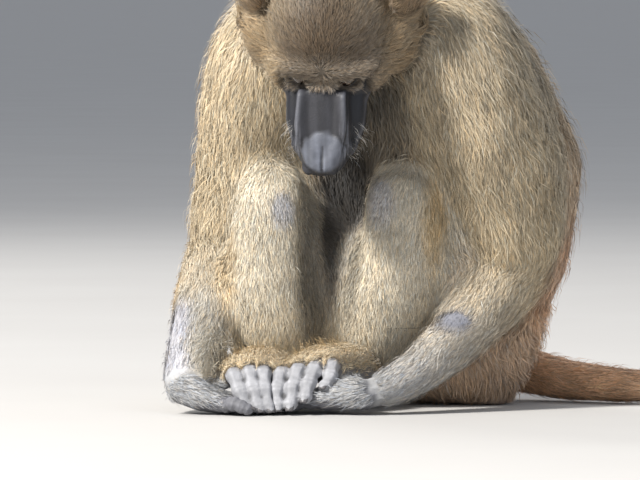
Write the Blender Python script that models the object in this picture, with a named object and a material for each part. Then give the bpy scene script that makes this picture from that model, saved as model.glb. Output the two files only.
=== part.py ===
"""A Guinea baboon that sits hunched with its head bowed and its toes over its hands.

The animal is modelled at life size with its coat. +Z is up, the face looks along -Y and
the animal's left side is at +X. Flesh and coat are lofts with rounded ends, named for the
part of the body they make, and each is cut clear of its neighbours by a thin gap.
"""

import math
import random
from dataclasses import dataclass, field

import bmesh
import bpy
import numpy as np
from mathutils import Euler, Matrix, Vector
from mathutils.bvhtree import BVHTree

MM = 0.001
GAP = 0.4
# The furthest a sharp corner moves as the faces beside it move out, as a share of their move.
MOST_GROWTH = 5.0
# Faces that differ less than this share are moved out as one plane.
FLAT_ENOUGH = 0.05
REGION_MARGIN = 11.0
# Edges under this length are collapsed, and how far a pinched vertex moves to its neighbours.
SHORTEST_EDGE = 0.02
PINCH_EASE = 0.03
# Voxel size and rounds of smoothing where shapes are melted together.
FLESH_MELT = (4.5, 8)
FACE_MELT = (2.2, 5)
RUFF_MELT = (1.8, 1)
FLESH_TRIANGLES = 2000
# The share of triangles left when the slivers along the cuts are collapsed.
SEAM_THINNING = 0.79
HEAD_TRIANGLES = 2300
# The finer face that the ruff's locks are melted into.
FACE_TRIANGLES = 6900
SEED = 7
FUR_COLOUR = (0.45, 0.34, 0.19)
SKIN_COLOUR = (0.09, 0.09, 0.10)
ROUGHNESS = 0.7
BARE_NODES = ("hand", "foot", "seat_pad", "muzzle", "eye")
# A lock is left out where other flesh lies over its root by less than this many metres.
COVERED = 0.04
# Metres that lie beyond any surface of the animal.
BEYOND = 0.5
SIDES = ("left", "right")
MIRROR = {"left": 1.0, "right": -1.0}

# The root of the nose, in millimetres, before the model is centred on its floor.
NASION = (2, -58, 316)

# The chest turns towards the animal's right, away from the camera's line.
BODY_YAW = math.radians(-28)
BODY_LEFT = Vector((math.cos(BODY_YAW), math.sin(BODY_YAW), 0))

# How the bowed head is turned: the muzzle points down and a little to its right.
HEAD_PITCH = math.radians(86)
HEAD_YAW = math.radians(-8)
HEAD_ROLL = math.radians(2)


@dataclass(frozen=True)
class Coat:
    """Rows of locks round a length of the body, with sizes in millimetres.

    first and last are shares of its length, spread is degrees round it from its wide axis,
    and lie is 1 where the hair runs with its stations and -1 where it runs against them.
    """

    rows: int
    first: float
    last: float
    spread: tuple
    lie: float
    length: float
    width: float
    thickness: float = 7.0
    lift: float = 5.5
    sink: float = 5.0
    droop: float = 0.35


COATS = {
    "torso": Coat(5, 0.42, 0.93, (-10, 190), -1, 70, 72, 8.0),
    "neck": Coat(2, 0.25, 0.75, (20, 160), -1, 54, 66, 8.0, 4.0, droop=0.0),
    "upper_arm_left": Coat(4, 0.08, 0.80, (-60, 105), 1, 54, 60),
    "upper_arm_right": Coat(4, 0.08, 0.80, (75, 240), 1, 54, 60),
}
# Rows of the cheek ruff: place along the head, locks on each side and their length.
RUFF_ROWS = ((-36, 3, 32), (-62, 3, 36), (-88, 2, 38))
# Shares of a lock's length, height, width and thickness at each of its stations.
LOCK_STATIONS = ((0.36, 1.0, 1.0, 1.0), (0.72, 0.9, 0.72, 0.8), (1.0, 0.35, 0.0, 0.0))
# A lock's width as a share of its place in the row.
LOCK_OVERLAP = 0.94
# Half of a lock's root, as a share of its full width.
LOCK_ROOT = 0.37
# How far from the straight line of a lock its surface is looked for.
LOCK_REACH = 40.0
# Degrees round the head from its side, and the level that they are measured from.
RUFF_START = -64
RUFF_STEP = 34
RUFF_STAGGER = 15
RUFF_WANDER = 4
RUFF_LEVEL = -48
# Width, thickness, lift and sink of a lock of the ruff.
RUFF_LOCK = (28, 5.5, 4.0, 4)
# Cuts made after the locks go this much deeper, so that no two cuts lie in one surface.
SHAVE = 0.15

EYE_RADIUS = 10.0
EYE_PLACE = (21.0, -8.0, -10.0)
GAZE = Vector((0, 0.79, 0.62))
LID_THICKNESS = 2.0
LID_OPENING = (9.2, 14, 4.6)
LID_OPENING_AHEAD = 4.0

# The mouth from its corner to its middle, and the cut's inner and outer edges beside it:
# a share of the place across and millimetres along the head.
MOUTH_LINE = [(42, 22, -52), (36, 42, -47), (29, 60, -42), (17, 78, -38), (0, 87, -37)]
MOUTH_INNER = (0.82, 12.6)
MOUTH_OUTER = (1.25, 8)
MOUTH_HALF_HEIGHT = 1.1

# The bare muzzle is parted from the head in front of the eyes.
MUZZLE_ROOM = ((-70, 7, -110), (70, 130, 30))

# Stations are centre, half width and half depth along each part, in millimetres.
TORSO = [
    ((124, 164, 52), 94, 70),
    ((118, 160, 94), 108, 92),
    ((122, 160, 150), 120, 102),
    ((126, 152, 222), 132, 106),
    ((88, 114, 318), 123, 97),
    ((54, 74, 378), 106, 82),
    ((40, 52, 400), 84, 64),
]
BELLY = ((14, 122, 156), (64, 50, 128))
NECK = [
    ((52, 74, 384), 88, 68),
    ((14, 8, 380), 66, 58),
]
UPPER_ARM = {
    "left": [
        ((128, 34, 356), 54, 56),
        ((147, 44, 304), 58, 60),
        ((173, 62, 226), 57, 57),
        ((188, 80, 152), 44, 44),
    ],
    "right": [
        ((-44, 108, 358), 54, 56),
        ((-56, 112, 306), 54, 58),
        ((-71, 128, 228), 47, 50),
        ((-86, 146, 160), 40, 42),
    ],
}
FOREARM = {
    "left": [
        ((190, 86, 138), 40, 38),
        ((158, 56, 100), 34, 33),
        ((123, 23, 64), 27, 27),
        ((92, -4, 39), 22, 22),
        ((62, -22, 24), 19, 18),
        ((46, -27, 21), 18, 17),
    ],
    "right": [
        ((-90, 150, 150), 37, 37),
        ((-106, 102, 114), 33, 32),
        ((-117, 56, 74), 28, 28),
        ((-125, 20, 42), 25, 23),
        ((-128, 2, 28), 24, 20),
    ],
}
THIGH = {
    "left": [
        ((158, 150, 78), 64, 62),
        ((122, 104, 132), 56, 58),
        ((84, 52, 190), 36, 36),
    ],
    "right": [
        ((70, 176, 80), 62, 62),
        ((14, 128, 130), 54, 58),
        ((-38, 78, 190), 34, 34),
    ],
}
SHANK = {
    "left": [
        ((79, 38, 206), 37, 34),
        ((77, 50, 168), 43, 38),
        ((70, 66, 126), 46, 43),
        ((62, 82, 84), 43, 39),
        ((54, 92, 56), 36, 31),
    ],
    "right": [
        ((-44, 64, 208), 34, 34),
        ((-47, 70, 168), 39, 39),
        ((-46, 80, 126), 44, 44),
        ((-44, 90, 84), 45, 41),
        ((-45, 96, 58), 43, 33),
    ],
}
TAIL_LENGTHS = {
    "tail_root": [
        ((148, 226, 44), 27, 26),
        ((196, 224, 31), 24, 24),
        ((238, 194, 22), 21, 21.5),
    ],
    "tail_middle": [
        ((238, 194, 22), 21, 21.5),
        ((300, 156, 18), 17.5, 18),
        ((364, 150, 16.5), 15.5, 16),
    ],
    "tail_end": [
        ((364, 150, 16.5), 15.5, 16),
        ((416, 170, 15.5), 14.5, 15),
        ((450, 208, 14.5), 13.5, 14),
    ],
    "tail_tip": [
        ((450, 208, 14.5), 13.5, 14),
        ((466, 258, 13), 12, 12.5),
        ((466, 312, 11.5), 9.5, 11),
    ],
}

# Heel to ball of each foot.
FOOT = {
    "left": [
        ((58, 124, 20), 18, 18),
        ((46, 98, 31), 24, 28),
        ((24, 56, 40), 27, 20),
        ((2, 20, 43), 28, 15),
        ((-7, 4, 42), 28, 12),
    ],
    "right": [
        ((-50, 130, 20), 18, 18),
        ((-52, 102, 31), 25, 28),
        ((-55, 58, 38), 28, 19),
        ((-64, 20, 41), 26, 14),
        ((-67, 4, 40), 26, 11),
    ],
}
# Each toe from its base over the knuckle to the tip, with its radius.
TOES = {
    "left": [
        ([(-32, 8, 40), (-37, -14, 38), (-41, -28, 24), (-40, -36, 8)], 7.4),
        ([(-17, 8, 43), (-21, -16, 41), (-26, -30, 26), (-28, -38, 9)], 7.8),
        ([(-2, 8, 45), (-5, -15, 43), (-11, -30, 30), (-14, -38, 16)], 7.6),
        ([(12, 12, 47), (12, -8, 46), (10, -23, 36), (5, -31, 27)], 7.6),
        ([(-4, 50, 38), (-18, 36, 33), (-28, 20, 28), (-33, 8, 26)], 7.2),
    ],
    "right": [
        ([(-82, 8, 38), (-82, -14, 37), (-76, -28, 23), (-70, -37, 7)], 7.8),
        ([(-66, 8, 41), (-67, -16, 39), (-63, -30, 24), (-58, -39, 7)], 7.8),
        ([(-52, 8, 41), (-54, -15, 39), (-52, -30, 24), (-48, -39, 7)], 7.4),
        ([(-46, 12, 38), (-47, -6, 36), (-49, -19, 22), (-49, -25, 8)], 6.2),
        ([(-40, 54, 34), (-34, 38, 30), (-33, 20, 27), (-36, 8, 25)], 7.0),
    ],
}
# Palm from the wrist to the knuckles.
HAND = {
    "left": [
        ((46, -27, 20), 17, 16),
        ((26, -20, 18), 20, 13),
        ((8, -12, 15), 24, 11),
        ((-2, -9, 14), 24, 9),
    ],
    "right": [
        ((-129, 0, 25), 20, 18),
        ((-112, -10, 15), 22, 13),
        ((-92, -15, 10), 25, 9.5),
        ((-80, -14, 9), 25, 8),
    ],
}
FINGERS = {
    "left": [
        ([(6, -22, 12), (-8, -20, 12), (-22, -15, 10), (-32, -12, 6)], 6.4),
        ([(4, -9, 12), (-12, -6, 12), (-30, -3, 10), (-42, 0, 6)], 6.8),
        ([(4, 4, 12), (-12, 8, 11), (-30, 11, 9), (-42, 14, 6)], 6.8),
        ([(5, 16, 11), (-8, 21, 10), (-22, 25, 8), (-32, 28, 6)], 6.2),
        ([(26, -4, 14), (18, 12, 11), (12, 26, 8), (8, 36, 6)], 6.2),
    ],
    "right": [
        ([(-90, -34, 9), (-82, -46, 12), (-74, -50, 9), (-67, -51, 6)], 6.6),
        ([(-86, -14, 9), (-74, -14, 10), (-62, -12, 9), (-52, -10, 6)], 6.6),
        ([(-86, 0, 9), (-74, 3, 10), (-62, 5, 8), (-52, 7, 6)], 6.6),
        ([(-88, 12, 8), (-77, 18, 9), (-66, 21, 8), (-56, 23, 6)], 6.2),
        ([(-112, 2, 18), (-104, 8, 25), (-96, 7, 28), (-90, 4, 27)], 6.4),
    ],
}
NAIL_LENGTH = 8.0
NAIL_WIDTH = 8.5
NAIL_TIP_WIDTH = 7.2
NAIL_THICKNESS = 2.4
# A nail's height on its toe as a share of the toe's radius, and how far it passes the tip.
NAIL_SEAT = 0.774
NAIL_AHEAD = 1.5
# Under this sine a toe counts as pointing straight down.
UPRIGHT = 0.2
# A digit's radius at its base, middle, knuckle and tip, as shares of its full radius.
DIGIT_SHARES = (1.0, 1.05, 0.95, 0.82)

# Bare pads under the rump, which the animal sits on.
PAD_SPREAD = 30.0
PAD_CENTRE = (140, 166, 8)
PAD_SIZE = (25, 34, 10)


@dataclass
class Piece:
    """A node before parting: its whole shape, what it keeps of it and what it takes from others."""

    node: bpy.types.Object
    region: bpy.types.Object = None
    cutters: list = field(default_factory=list)


def vector_mm(place):
    """A point given in millimetres, as a vector in metres."""
    return Vector(place) * MM


def mesh_object(name, points, faces):
    """A new mesh object with its normals pointing out."""
    mesh = bpy.data.meshes.new(name)
    mesh.from_pydata([tuple(p) for p in points], [], faces)
    shape = bmesh.new()
    shape.from_mesh(mesh)
    bmesh.ops.recalc_face_normals(shape, faces=shape.faces)
    shape.to_mesh(mesh)
    shape.free()
    obj = bpy.data.objects.new(name, mesh)
    bpy.context.scene.collection.objects.link(obj)
    return obj


def remove(*objects):
    """Deletes helper objects."""
    for obj in objects:
        bpy.data.objects.remove(obj)


def bake(obj):
    """Applies every modifier of an object."""
    graph = bpy.context.evaluated_depsgraph_get()
    mesh = bpy.data.meshes.new_from_object(obj.evaluated_get(graph))
    obj.modifiers.clear()
    obj.data = mesh
    return obj


def blend(a, b, c, d, t):
    """A Catmull-Rom curve's value between b and c."""
    return 0.5 * (
        2 * b + (c - a) * t + (2 * a - 5 * b + 4 * c - d) * t * t + (3 * b - 3 * c + d - a) * t**3
    )


def along_stations(stations, steps):
    """Stations refined along a smooth curve: (centre in metres, half width, half depth)."""
    rows = [[*centre, wide, deep] for centre, wide, deep in stations]
    first = [2 * p - q for p, q in zip(rows[0], rows[1])]
    last = [2 * p - q for p, q in zip(rows[-1], rows[-2])]
    rows = [first, *rows, last]
    fine = []
    for i in range(1, len(rows) - 2):
        for step in range(steps):
            t = step / steps
            fine.append([blend(*values, t) for values in zip(*rows[i - 1 : i + 3])])
    fine.append(rows[-2])
    return [(vector_mm(r[:3]), r[3] * MM, r[4] * MM) for r in fine]


def tangents(centres):
    """Unit directions along a line of points."""
    last = len(centres) - 1
    return [
        (centres[min(i + 1, last)] - centres[max(i - 1, 0)]).normalized() for i in range(last + 1)
    ]


def loft(name, stations, sides, steps, wide, power=2.0, ends=0.9, cap_angles=(60, 30)):
    """A closed tube through the stations, with rounded ends and an oval or boxy section."""
    fine = along_stations(stations, steps)
    lines = tangents([centre for centre, _, _ in fine])
    rings = []
    centre, half_wide, half_deep = fine[0]
    reach = ends * min(half_wide, half_deep)
    for angle in cap_angles:
        s, c = math.sin(math.radians(angle)), math.cos(math.radians(angle))
        rings.append((centre - lines[0] * reach * s, half_wide * c, half_deep * c, lines[0]))
    start = centre - lines[0] * reach
    for (centre, half_wide, half_deep), line in zip(fine, lines):
        rings.append((centre, half_wide, half_deep, line))
    reach = ends * min(half_wide, half_deep)
    for angle in reversed(cap_angles):
        s, c = math.sin(math.radians(angle)), math.cos(math.radians(angle))
        rings.append((centre + lines[-1] * reach * s, half_wide * c, half_deep * c, lines[-1]))
    end = centre + lines[-1] * reach
    points, faces = [start], []
    for centre, half_wide, half_deep, line in rings:
        across = (wide - line * wide.dot(line)).normalized()
        up = line.cross(across)
        for k in range(sides):
            angle = 2 * math.pi * k / sides
            c, s = math.cos(angle), math.sin(angle)
            reach_out = (abs(c) ** power + abs(s) ** power) ** (-1 / power)
            points.append(
                centre + across * (half_wide * c * reach_out) + up * (half_deep * s * reach_out)
            )
    points.append(end)
    for k in range(sides):
        after = (k + 1) % sides
        faces.append((0, 1 + after, 1 + k))
        for ring in range(len(rings) - 1):
            low, high = 1 + ring * sides, 1 + (ring + 1) * sides
            faces.append((low + k, low + after, high + after, high + k))
        top = 1 + (len(rings) - 1) * sides
        faces.append((top + k, top + after, len(points) - 1))
    return mesh_object(name, points, faces)


def ball(name, centre, size, turn=(0, 0, 0), segments=16, rings=10):
    """An ellipsoid of half sizes in millimetres, turned by angles in degrees."""
    shape = bmesh.new()
    bmesh.ops.create_uvsphere(shape, u_segments=segments, v_segments=rings, radius=MM)
    matrix = (
        Matrix.Translation(vector_mm(centre))
        @ Euler([math.radians(a) for a in turn]).to_matrix().to_4x4()
        @ Matrix.Diagonal((*size, 1))
    )
    bmesh.ops.transform(shape, matrix=matrix, verts=shape.verts)
    mesh = bpy.data.meshes.new(name)
    shape.to_mesh(mesh)
    shape.free()
    obj = bpy.data.objects.new(name, mesh)
    bpy.context.scene.collection.objects.link(obj)
    return obj


def combine(target, others, operation, solver="EXACT"):
    """One Boolean of the target with all the others, which are then removed."""
    group = bpy.data.collections.new("operands")
    bpy.context.scene.collection.children.link(group)
    for other in others:
        group.objects.link(other)
    cut = target.modifiers.new("combine", "BOOLEAN")
    cut.operation = operation
    cut.solver = solver
    cut.operand_type = "COLLECTION"
    cut.collection = group
    bake(target)
    remove(*others)
    bpy.data.collections.remove(group)
    return target


def grown(obj, by):
    """A copy of an object whose faces are all moved out by a distance in millimetres."""
    shape = bmesh.new()
    shape.from_mesh(obj.data)
    shape.normal_update()
    if by > 0:
        moves = []
        for vertex in shape.verts:
            normals = np.array([tuple(face.normal) for face in vertex.link_faces])
            move = np.linalg.lstsq(normals, np.full(len(normals), by * MM), rcond=FLAT_ENOUGH)[0]
            excess = np.linalg.norm(move) / (MOST_GROWTH * by * MM)
            moves.append(move / max(1.0, excess))
        for vertex, move in zip(shape.verts, moves):
            vertex.co += Vector(move)
    mesh = bpy.data.meshes.new("grown")
    shape.to_mesh(mesh)
    shape.free()
    copy = bpy.data.objects.new("grown", mesh)
    bpy.context.scene.collection.objects.link(copy)
    return copy


def copy_of(obj):
    """Another object with a copy of the same mesh."""
    copy = bpy.data.objects.new(obj.name, obj.data.copy())
    bpy.context.scene.collection.objects.link(copy)
    return copy


def in_triangles(mesh):
    """A mesh in triangles, split another way where the first leaves an edge with four faces."""
    for method in ("BEAUTY", "EAR_CLIP"):
        shape = bmesh.new()
        shape.from_mesh(mesh)
        bmesh.ops.triangulate(shape, faces=shape.faces, ngon_method=method)
        if all(len(edge.link_faces) == 2 for edge in shape.edges):
            break
    return shape


def keep_largest(obj):
    """Keeps only the largest closed surface of an object, in triangles."""
    shape = in_triangles(obj.data)
    left = set(shape.faces)
    pieces = []
    while left:
        stack, piece = [left.pop()], []
        while stack:
            face = stack.pop()
            piece.append(face)
            for edge in face.edges:
                for other in edge.link_faces:
                    if other in left:
                        left.remove(other)
                        stack.append(other)
        pieces.append(piece)

    def volume(piece):
        corners = [[v.co for v in face.verts] for face in piece]
        return abs(sum(a.cross(b).dot(c) for a, b, c in corners))

    largest = max(pieces, key=volume)
    scraps = [face for piece in pieces if piece is not largest for face in piece]
    bmesh.ops.delete(shape, geom=scraps, context="FACES")
    shape.to_mesh(obj.data)
    shape.free()
    return obj


def ease_pinches(obj):
    """Collapses edges too short to see and draws apart vertices that share one place."""
    shape = bmesh.new()
    shape.from_mesh(obj.data)
    bmesh.ops.dissolve_degenerate(shape, dist=SHORTEST_EDGE * MM, edges=shape.edges)
    bmesh.ops.triangulate(shape, faces=shape.faces)
    shared = {}
    for vertex in shape.verts:
        place = tuple(round(c / (SHORTEST_EDGE * MM)) for c in vertex.co)
        shared.setdefault(place, []).append(vertex)
    for vertices in shared.values():
        if len(vertices) > 1:
            for vertex in vertices:
                around = [edge.other_vert(vertex).co for edge in vertex.link_edges]
                middle = sum(around, Vector()) / len(around)
                vertex.co += (middle - vertex.co).normalized() * (PINCH_EASE * MM)
    shape.to_mesh(obj.data)
    shape.free()
    return obj


def thin_out(obj, ratio):
    """Collapses the flattest edges until a share of the triangles is left."""
    thin = obj.modifiers.new("thin", "DECIMATE")
    thin.ratio = ratio
    return bake(obj)


def fuse_soft(name, parts, voxel, smoothing, triangles):
    """Overlapping shapes melted into one smooth skin with a given number of triangles."""
    points, faces = [], []
    for part in parts:
        start = len(points)
        points.extend(v.co.copy() for v in part.data.vertices)
        faces.extend(tuple(start + i for i in p.vertices) for p in part.data.polygons)
    remove(*parts)
    obj = mesh_object(name, points, faces)
    remesh = obj.modifiers.new("melt", "REMESH")
    remesh.mode = "VOXEL"
    remesh.voxel_size = voxel * MM
    smooth = obj.modifiers.new("soften", "SMOOTH")
    smooth.factor = 0.5
    smooth.iterations = smoothing
    bake(obj)
    keep_largest(obj)
    return thin_out(obj, triangles / len(obj.data.polygons))


def lock(root, along, out, length, width, thickness, lift, sink, tree):
    """A flat closed lock of the coat that is rooted below the surface and bends along it."""
    along = (along - out * along.dot(out)).normalized()
    across = out.cross(along).normalized()
    low = root - out * (sink * MM)
    root_half = across * (width * LOCK_ROOT * MM)
    points = [low + root_half, low + out * (thickness / 2 * MM), low - root_half]
    for share, high, wide, thick in LOCK_STATIONS:
        above = root + along * (length * share * MM) + out * (LOCK_REACH * MM)
        place, normal, _, _ = tree.ray_cast(above, -out, 2 * LOCK_REACH * MM)
        if place is None:
            place, normal = root + along * (length * share * MM), out
        centre = place + normal * (lift * high * MM)
        if wide == 0:
            points.append(centre)
            continue
        points.append(centre + across * (width * wide / 2 * MM))
        points.append(centre + normal * (thickness * thick / 2 * MM))
        points.append(centre - across * (width * wide / 2 * MM))
    faces = [(0, 1, 2)]
    for ring in (0, 3):
        for k in range(3):
            a, b = ring + k, ring + (k + 1) % 3
            faces += [(a, b, b + 3), (a, b + 3, a + 3)]
    for k in range(3):
        faces.append((6 + k, 6 + (k + 1) % 3, 9))
    return mesh_object("lock", points, faces)


def surface_tree(obj):
    """A tree that finds where a ray meets an object."""
    points = [v.co.copy() for v in obj.data.vertices]
    return BVHTree.FromPolygons(points, [tuple(p.vertices) for p in obj.data.polygons])


def surface_at(tree, inside, outwards):
    """The outermost surface point from a point inside, and its normal."""
    far = inside + outwards * BEYOND
    place, normal, _, _ = tree.ray_cast(far, -outwards)
    return place, normal


def paint(obj, colour):
    """Gives an object its own plain material."""
    material = bpy.data.materials.new(obj.name)
    material.use_nodes = True
    shader = material.node_tree.nodes["Principled BSDF"]
    shader.inputs["Base Color"].default_value = (*colour, 1)
    shader.inputs["Roughness"].default_value = ROUGHNESS
    obj.data.materials.clear()
    obj.data.materials.append(material)


def head_matrix():
    """Takes head points (sideways, towards the nose, towards the crown) to their place."""
    base = Matrix(((1, 0, 0), (0, -1, 0), (0, 0, 1))).to_4x4()
    turn = Euler((HEAD_PITCH, 0, 0)).to_matrix().to_4x4()
    lean = Euler((0, HEAD_ROLL, HEAD_YAW)).to_matrix().to_4x4()
    return Matrix.Translation(vector_mm(NASION)) @ lean @ turn @ base


def place_head(obj):
    """Moves an object from head coordinates to its place."""
    obj.data.transform(head_matrix())
    obj.data.flip_normals()
    return obj


def eye_centre(side):
    """The middle of an eye, in head coordinates."""
    across, forward, up = EYE_PLACE
    return Vector((MIRROR[side] * across, forward, up))


def head_flesh():
    """The skull, cheeks, brow, muzzle and jaw, melted together."""
    x = Vector((1, 0, 0))
    y = Vector((0, 1, 0))
    parts = [
        ball("braincase", (0, -60, -28), (60, 68, 52), (38, 0, 0), 24, 16),
        loft(
            "muzzle",
            [
                ((0, -30, -46), 46, 40),
                ((0, 8, -38), 39, 30),
                ((0, 38, -35), 38, 26),
                ((0, 60, -32), 31, 20),
                ((0, 72, -30), 22, 16),
            ],
            24,
            4,
            x,
            2.5,
        ),
        loft(
            "bridge",
            [
                ((0, -18, -16), 22, 18),
                ((0, 8, -14), 22, 15),
                ((0, 38, -14), 22, 13),
                ((0, 68, -15), 18, 11),
            ],
            20,
            4,
            x,
            3.4,
        ),
        loft(
            "jaw",
            [
                ((0, -50, -84), 36, 20),
                ((0, -8, -72), 29, 16),
                ((0, 34, -58), 23, 13),
                ((0, 66, -46), 16, 10),
            ],
            20,
            4,
            x,
            2.4,
        ),
        loft(
            "brow",
            [
                ((-47, -20, -4), 9, 9),
                ((-26, -13, 5), 11, 10),
                ((0, -13, 7), 11, 11),
                ((26, -13, 5), 11, 10),
                ((47, -20, -4), 9, 9),
            ],
            12,
            4,
            y,
        ),
        ball("nose", (0, 77, -14), (19, 12, 11), (0, 0, 0), 20, 12),
        ball("upper_lip", (0, 72, -29), (21, 12, 11), (0, 0, 0), 20, 12),
    ]
    for side in SIDES:
        m = MIRROR[side]
        parts += [
            loft(
                "ridge",
                [
                    ((m * 20, -4, -2), 5, 5),
                    ((m * 21, 24, -2), 5.5, 5),
                    ((m * 20, 48, -4), 5.5, 5),
                    ((m * 14, 70, -9), 5, 5),
                ],
                10,
                4,
                x,
            ),
            ball("cheekbone", (m * 40, -22, -34), (20, 30, 26)),
            ball("cheek", (m * 52, -50, -50), (34, 40, 36)),
            ball("ruff", (m * 58, -80, -52), (32, 34, 36)),
            ball("nostril_wing", (m * 10, 81, -15), (8.5, 8, 8.5)),
            ball("lid", eye_centre(side), (EYE_RADIUS + LID_THICKNESS,) * 3),
        ]
    return fuse_soft("head", parts, *FACE_MELT, FACE_TRIANGLES)


def carve_face(head):
    """Cuts the nostrils, the line of the mouth and the opening between the lids."""
    cutters = []
    for side in SIDES:
        m = MIRROR[side]
        cutters.append(ball("nostril", (m * 7.5, 90, -16), (4.0, 7, 3.0), (0, m * 25, 0), 10, 8))
        front = eye_centre(side) + GAZE * (EYE_RADIUS + LID_OPENING_AHEAD)
        tilt = math.degrees(math.atan2(GAZE.z, GAZE.y))
        cutters.append(ball("lid_opening", front, LID_OPENING, (tilt, 0, 0), 16, 10))
    return combine(head, [*cutters, mouth_cutter()], "DIFFERENCE", "MANIFOLD")


def mouth_cutter():
    """A thin curved wedge that cuts the line of the mouth."""
    points, faces = [], []
    full = MOUTH_LINE + [(-x, f, d) for x, f, d in reversed(MOUTH_LINE[:-1])]
    for x, f, d in full:
        inner_x, inner_f = x * MOUTH_INNER[0], f - MOUTH_INNER[1]
        outer_x, outer_f = x * MOUTH_OUTER[0], f + MOUTH_OUTER[1]
        for px, pf, pd in (
            (inner_x, inner_f, d + MOUTH_HALF_HEIGHT),
            (outer_x, outer_f, d + MOUTH_HALF_HEIGHT),
            (outer_x, outer_f, d - MOUTH_HALF_HEIGHT),
            (inner_x, inner_f, d - MOUTH_HALF_HEIGHT),
        ):
            points.append(vector_mm((px, pf, pd)))
    for ring in range(len(full) - 1):
        for k in range(4):
            a, b = ring * 4 + k, ring * 4 + (k + 1) % 4
            faces += [(a, b, b + 4), (a, b + 4, a + 4)]
    end = (len(full) - 1) * 4
    faces += [(0, 1, 2), (0, 2, 3), (end, end + 1, end + 2), (end, end + 2, end + 3)]
    return mesh_object("mouth_line", points, faces)


def head_locks(head):
    """Locks of the cheek ruff, swept back and out from the face."""
    tree = surface_tree(head)
    draw = random.Random(SEED)
    locks = []
    for side in SIDES:
        m = MIRROR[side]
        for row, (forward, count, length) in enumerate(RUFF_ROWS):
            for k in range(count):
                turn = RUFF_START + RUFF_STEP * k + RUFF_STAGGER * (row % 2)
                angle = math.radians(turn + draw.uniform(-RUFF_WANDER, RUFF_WANDER))
                outwards = Vector((m * math.cos(angle), -0.1, math.sin(angle))).normalized()
                place, normal = surface_at(tree, vector_mm((0, forward, RUFF_LEVEL)), outwards)
                along = Vector((m * 0.45, -1, -0.15))
                size = length * draw.uniform(0.9, 1.1)
                locks.append(lock(place, along, normal, size, *RUFF_LOCK, tree))
    return locks


def make_head():
    """The head with its carved face and cheek ruff, in place."""
    head = head_flesh()
    head = fuse_soft("head", [head, *head_locks(head)], *RUFF_MELT, HEAD_TRIANGLES)
    carve_face(head)
    keep_largest(place_head(head))
    return head


def make_muzzle(head):
    """Parts the bare muzzle from the head in front of the eyes, and returns it."""
    muzzle = copy_of(head)
    muzzle.name = "muzzle"
    (left, back, under), high = MUZZLE_ROOM
    for obj, start, operation in ((muzzle, back, "INTERSECT"), (head, back - GAP, "DIFFERENCE")):
        room = block("room", vector_mm((left, start, under)), vector_mm(high))
        combine(obj, [place_head(room)], operation, "MANIFOLD")
        keep_largest(obj)
    return muzzle


def make_eye(side):
    """One eyeball."""
    return place_head(ball("eye_" + side, eye_centre(side), (EYE_RADIUS,) * 3, (0, 0, 0), 10, 7))


def make_ear(side):
    """One ear: a leaf-shaped cup with a rolled rim."""
    m = MIRROR[side]
    turn = (30, m * -32, m * 28)
    ear = ball("ear_" + side, (m * 78, -86, -18), (8, 24, 20), turn, 12, 8)
    hollow = ball("hollow", (m * 84, -80, -15), (8, 18, 14), turn, 8, 6)
    solid = place_head(copy_of(ear))
    cutter = grown(solid, GAP)
    remove(solid)
    combine(ear, [hollow], "DIFFERENCE")
    return Piece(place_head(ear), None, [cutter])


def digit(points_mm, radius, wide):
    """One finger or toe as a tapered tube with a knuckle."""
    stations = [(p, radius * s, radius * s) for p, s in zip(points_mm, DIGIT_SHARES)]
    return loft("digit", stations, 6, 1, wide, 2.0, 0.8, (40,))


def nail(points_mm, radius):
    """A flat nail on the upper side of a digit's tip."""
    tip, before = Vector(points_mm[-1]), Vector(points_mm[-2])
    line = (tip - before).normalized()
    side = line.cross(Vector((0, 0, 1)))
    side = side.normalized() if side.length > UPRIGHT else Vector((1, 0, 0))
    up = side.cross(line).normalized()
    centre = tip + line * NAIL_AHEAD + up * (radius - NAIL_THICKNESS / 2)
    stations = [
        (tuple(centre - line * NAIL_LENGTH / 2), NAIL_WIDTH / 2, NAIL_THICKNESS / 2),
        (tuple(centre + line * NAIL_LENGTH / 2), NAIL_TIP_WIDTH / 2, NAIL_THICKNESS / 2),
    ]
    return loft("nail", stations, 4, 1, side, 3.0, 0.4, ())


def make_paw(name, body, digits, wide):
    """A hand or foot with its digits and nails joined to it."""
    paw = loft(name, body, 10, 1, wide, 2.3, 0.9, (45,))
    pieces = []
    for points_mm, radius in digits:
        pieces.append(digit(points_mm, radius, wide))
        if name.startswith("foot"):
            pieces.append(nail(points_mm, radius * NAIL_SEAT))
    combine(paw, pieces, "UNION")
    return keep_largest(paw)


def coat_locks(node, flesh_tree, stations, wide, coat, seed):
    """Rows of locks on a node, where no other flesh lies over it."""
    tree = surface_tree(node)
    fine = along_stations(stations, 8)
    lines = tangents([centre for centre, _, _ in fine])
    draw = random.Random(seed)
    start, stop = (math.radians(a) for a in coat.spread)
    locks = []
    for row in range(coat.rows):
        share = coat.first + (coat.last - coat.first) * row / (coat.rows - 1)
        index = round(share * (len(fine) - 1))
        centre, half_wide, half_deep = fine[index]
        line = lines[index]
        across = (wide - line * wide.dot(line)).normalized()
        up = line.cross(across)
        girth = (half_wide + half_deep) / 2 * (stop - start)
        count = round(girth / (coat.width * MM))
        for k in range(count):
            angle = start + (stop - start) * (k + 0.5 * (row % 2) + draw.uniform(0, 0.25)) / count
            outwards = across * math.cos(angle) + up * math.sin(angle)
            place, normal = surface_at(tree, centre, outwards)
            if place is None or flesh_tree.ray_cast(place + normal * MM, normal, COVERED)[0]:
                continue
            along = line * coat.lie + Vector((0, 0, -coat.droop)) + across * draw.uniform(-0.15, 0.15)
            length = coat.length * draw.uniform(0.85, 1.12)
            size = (coat.width * LOCK_OVERLAP, coat.thickness, coat.lift, coat.sink)
            locks.append(lock(place, along, normal, length, *size, flesh_tree))
    return locks


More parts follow.
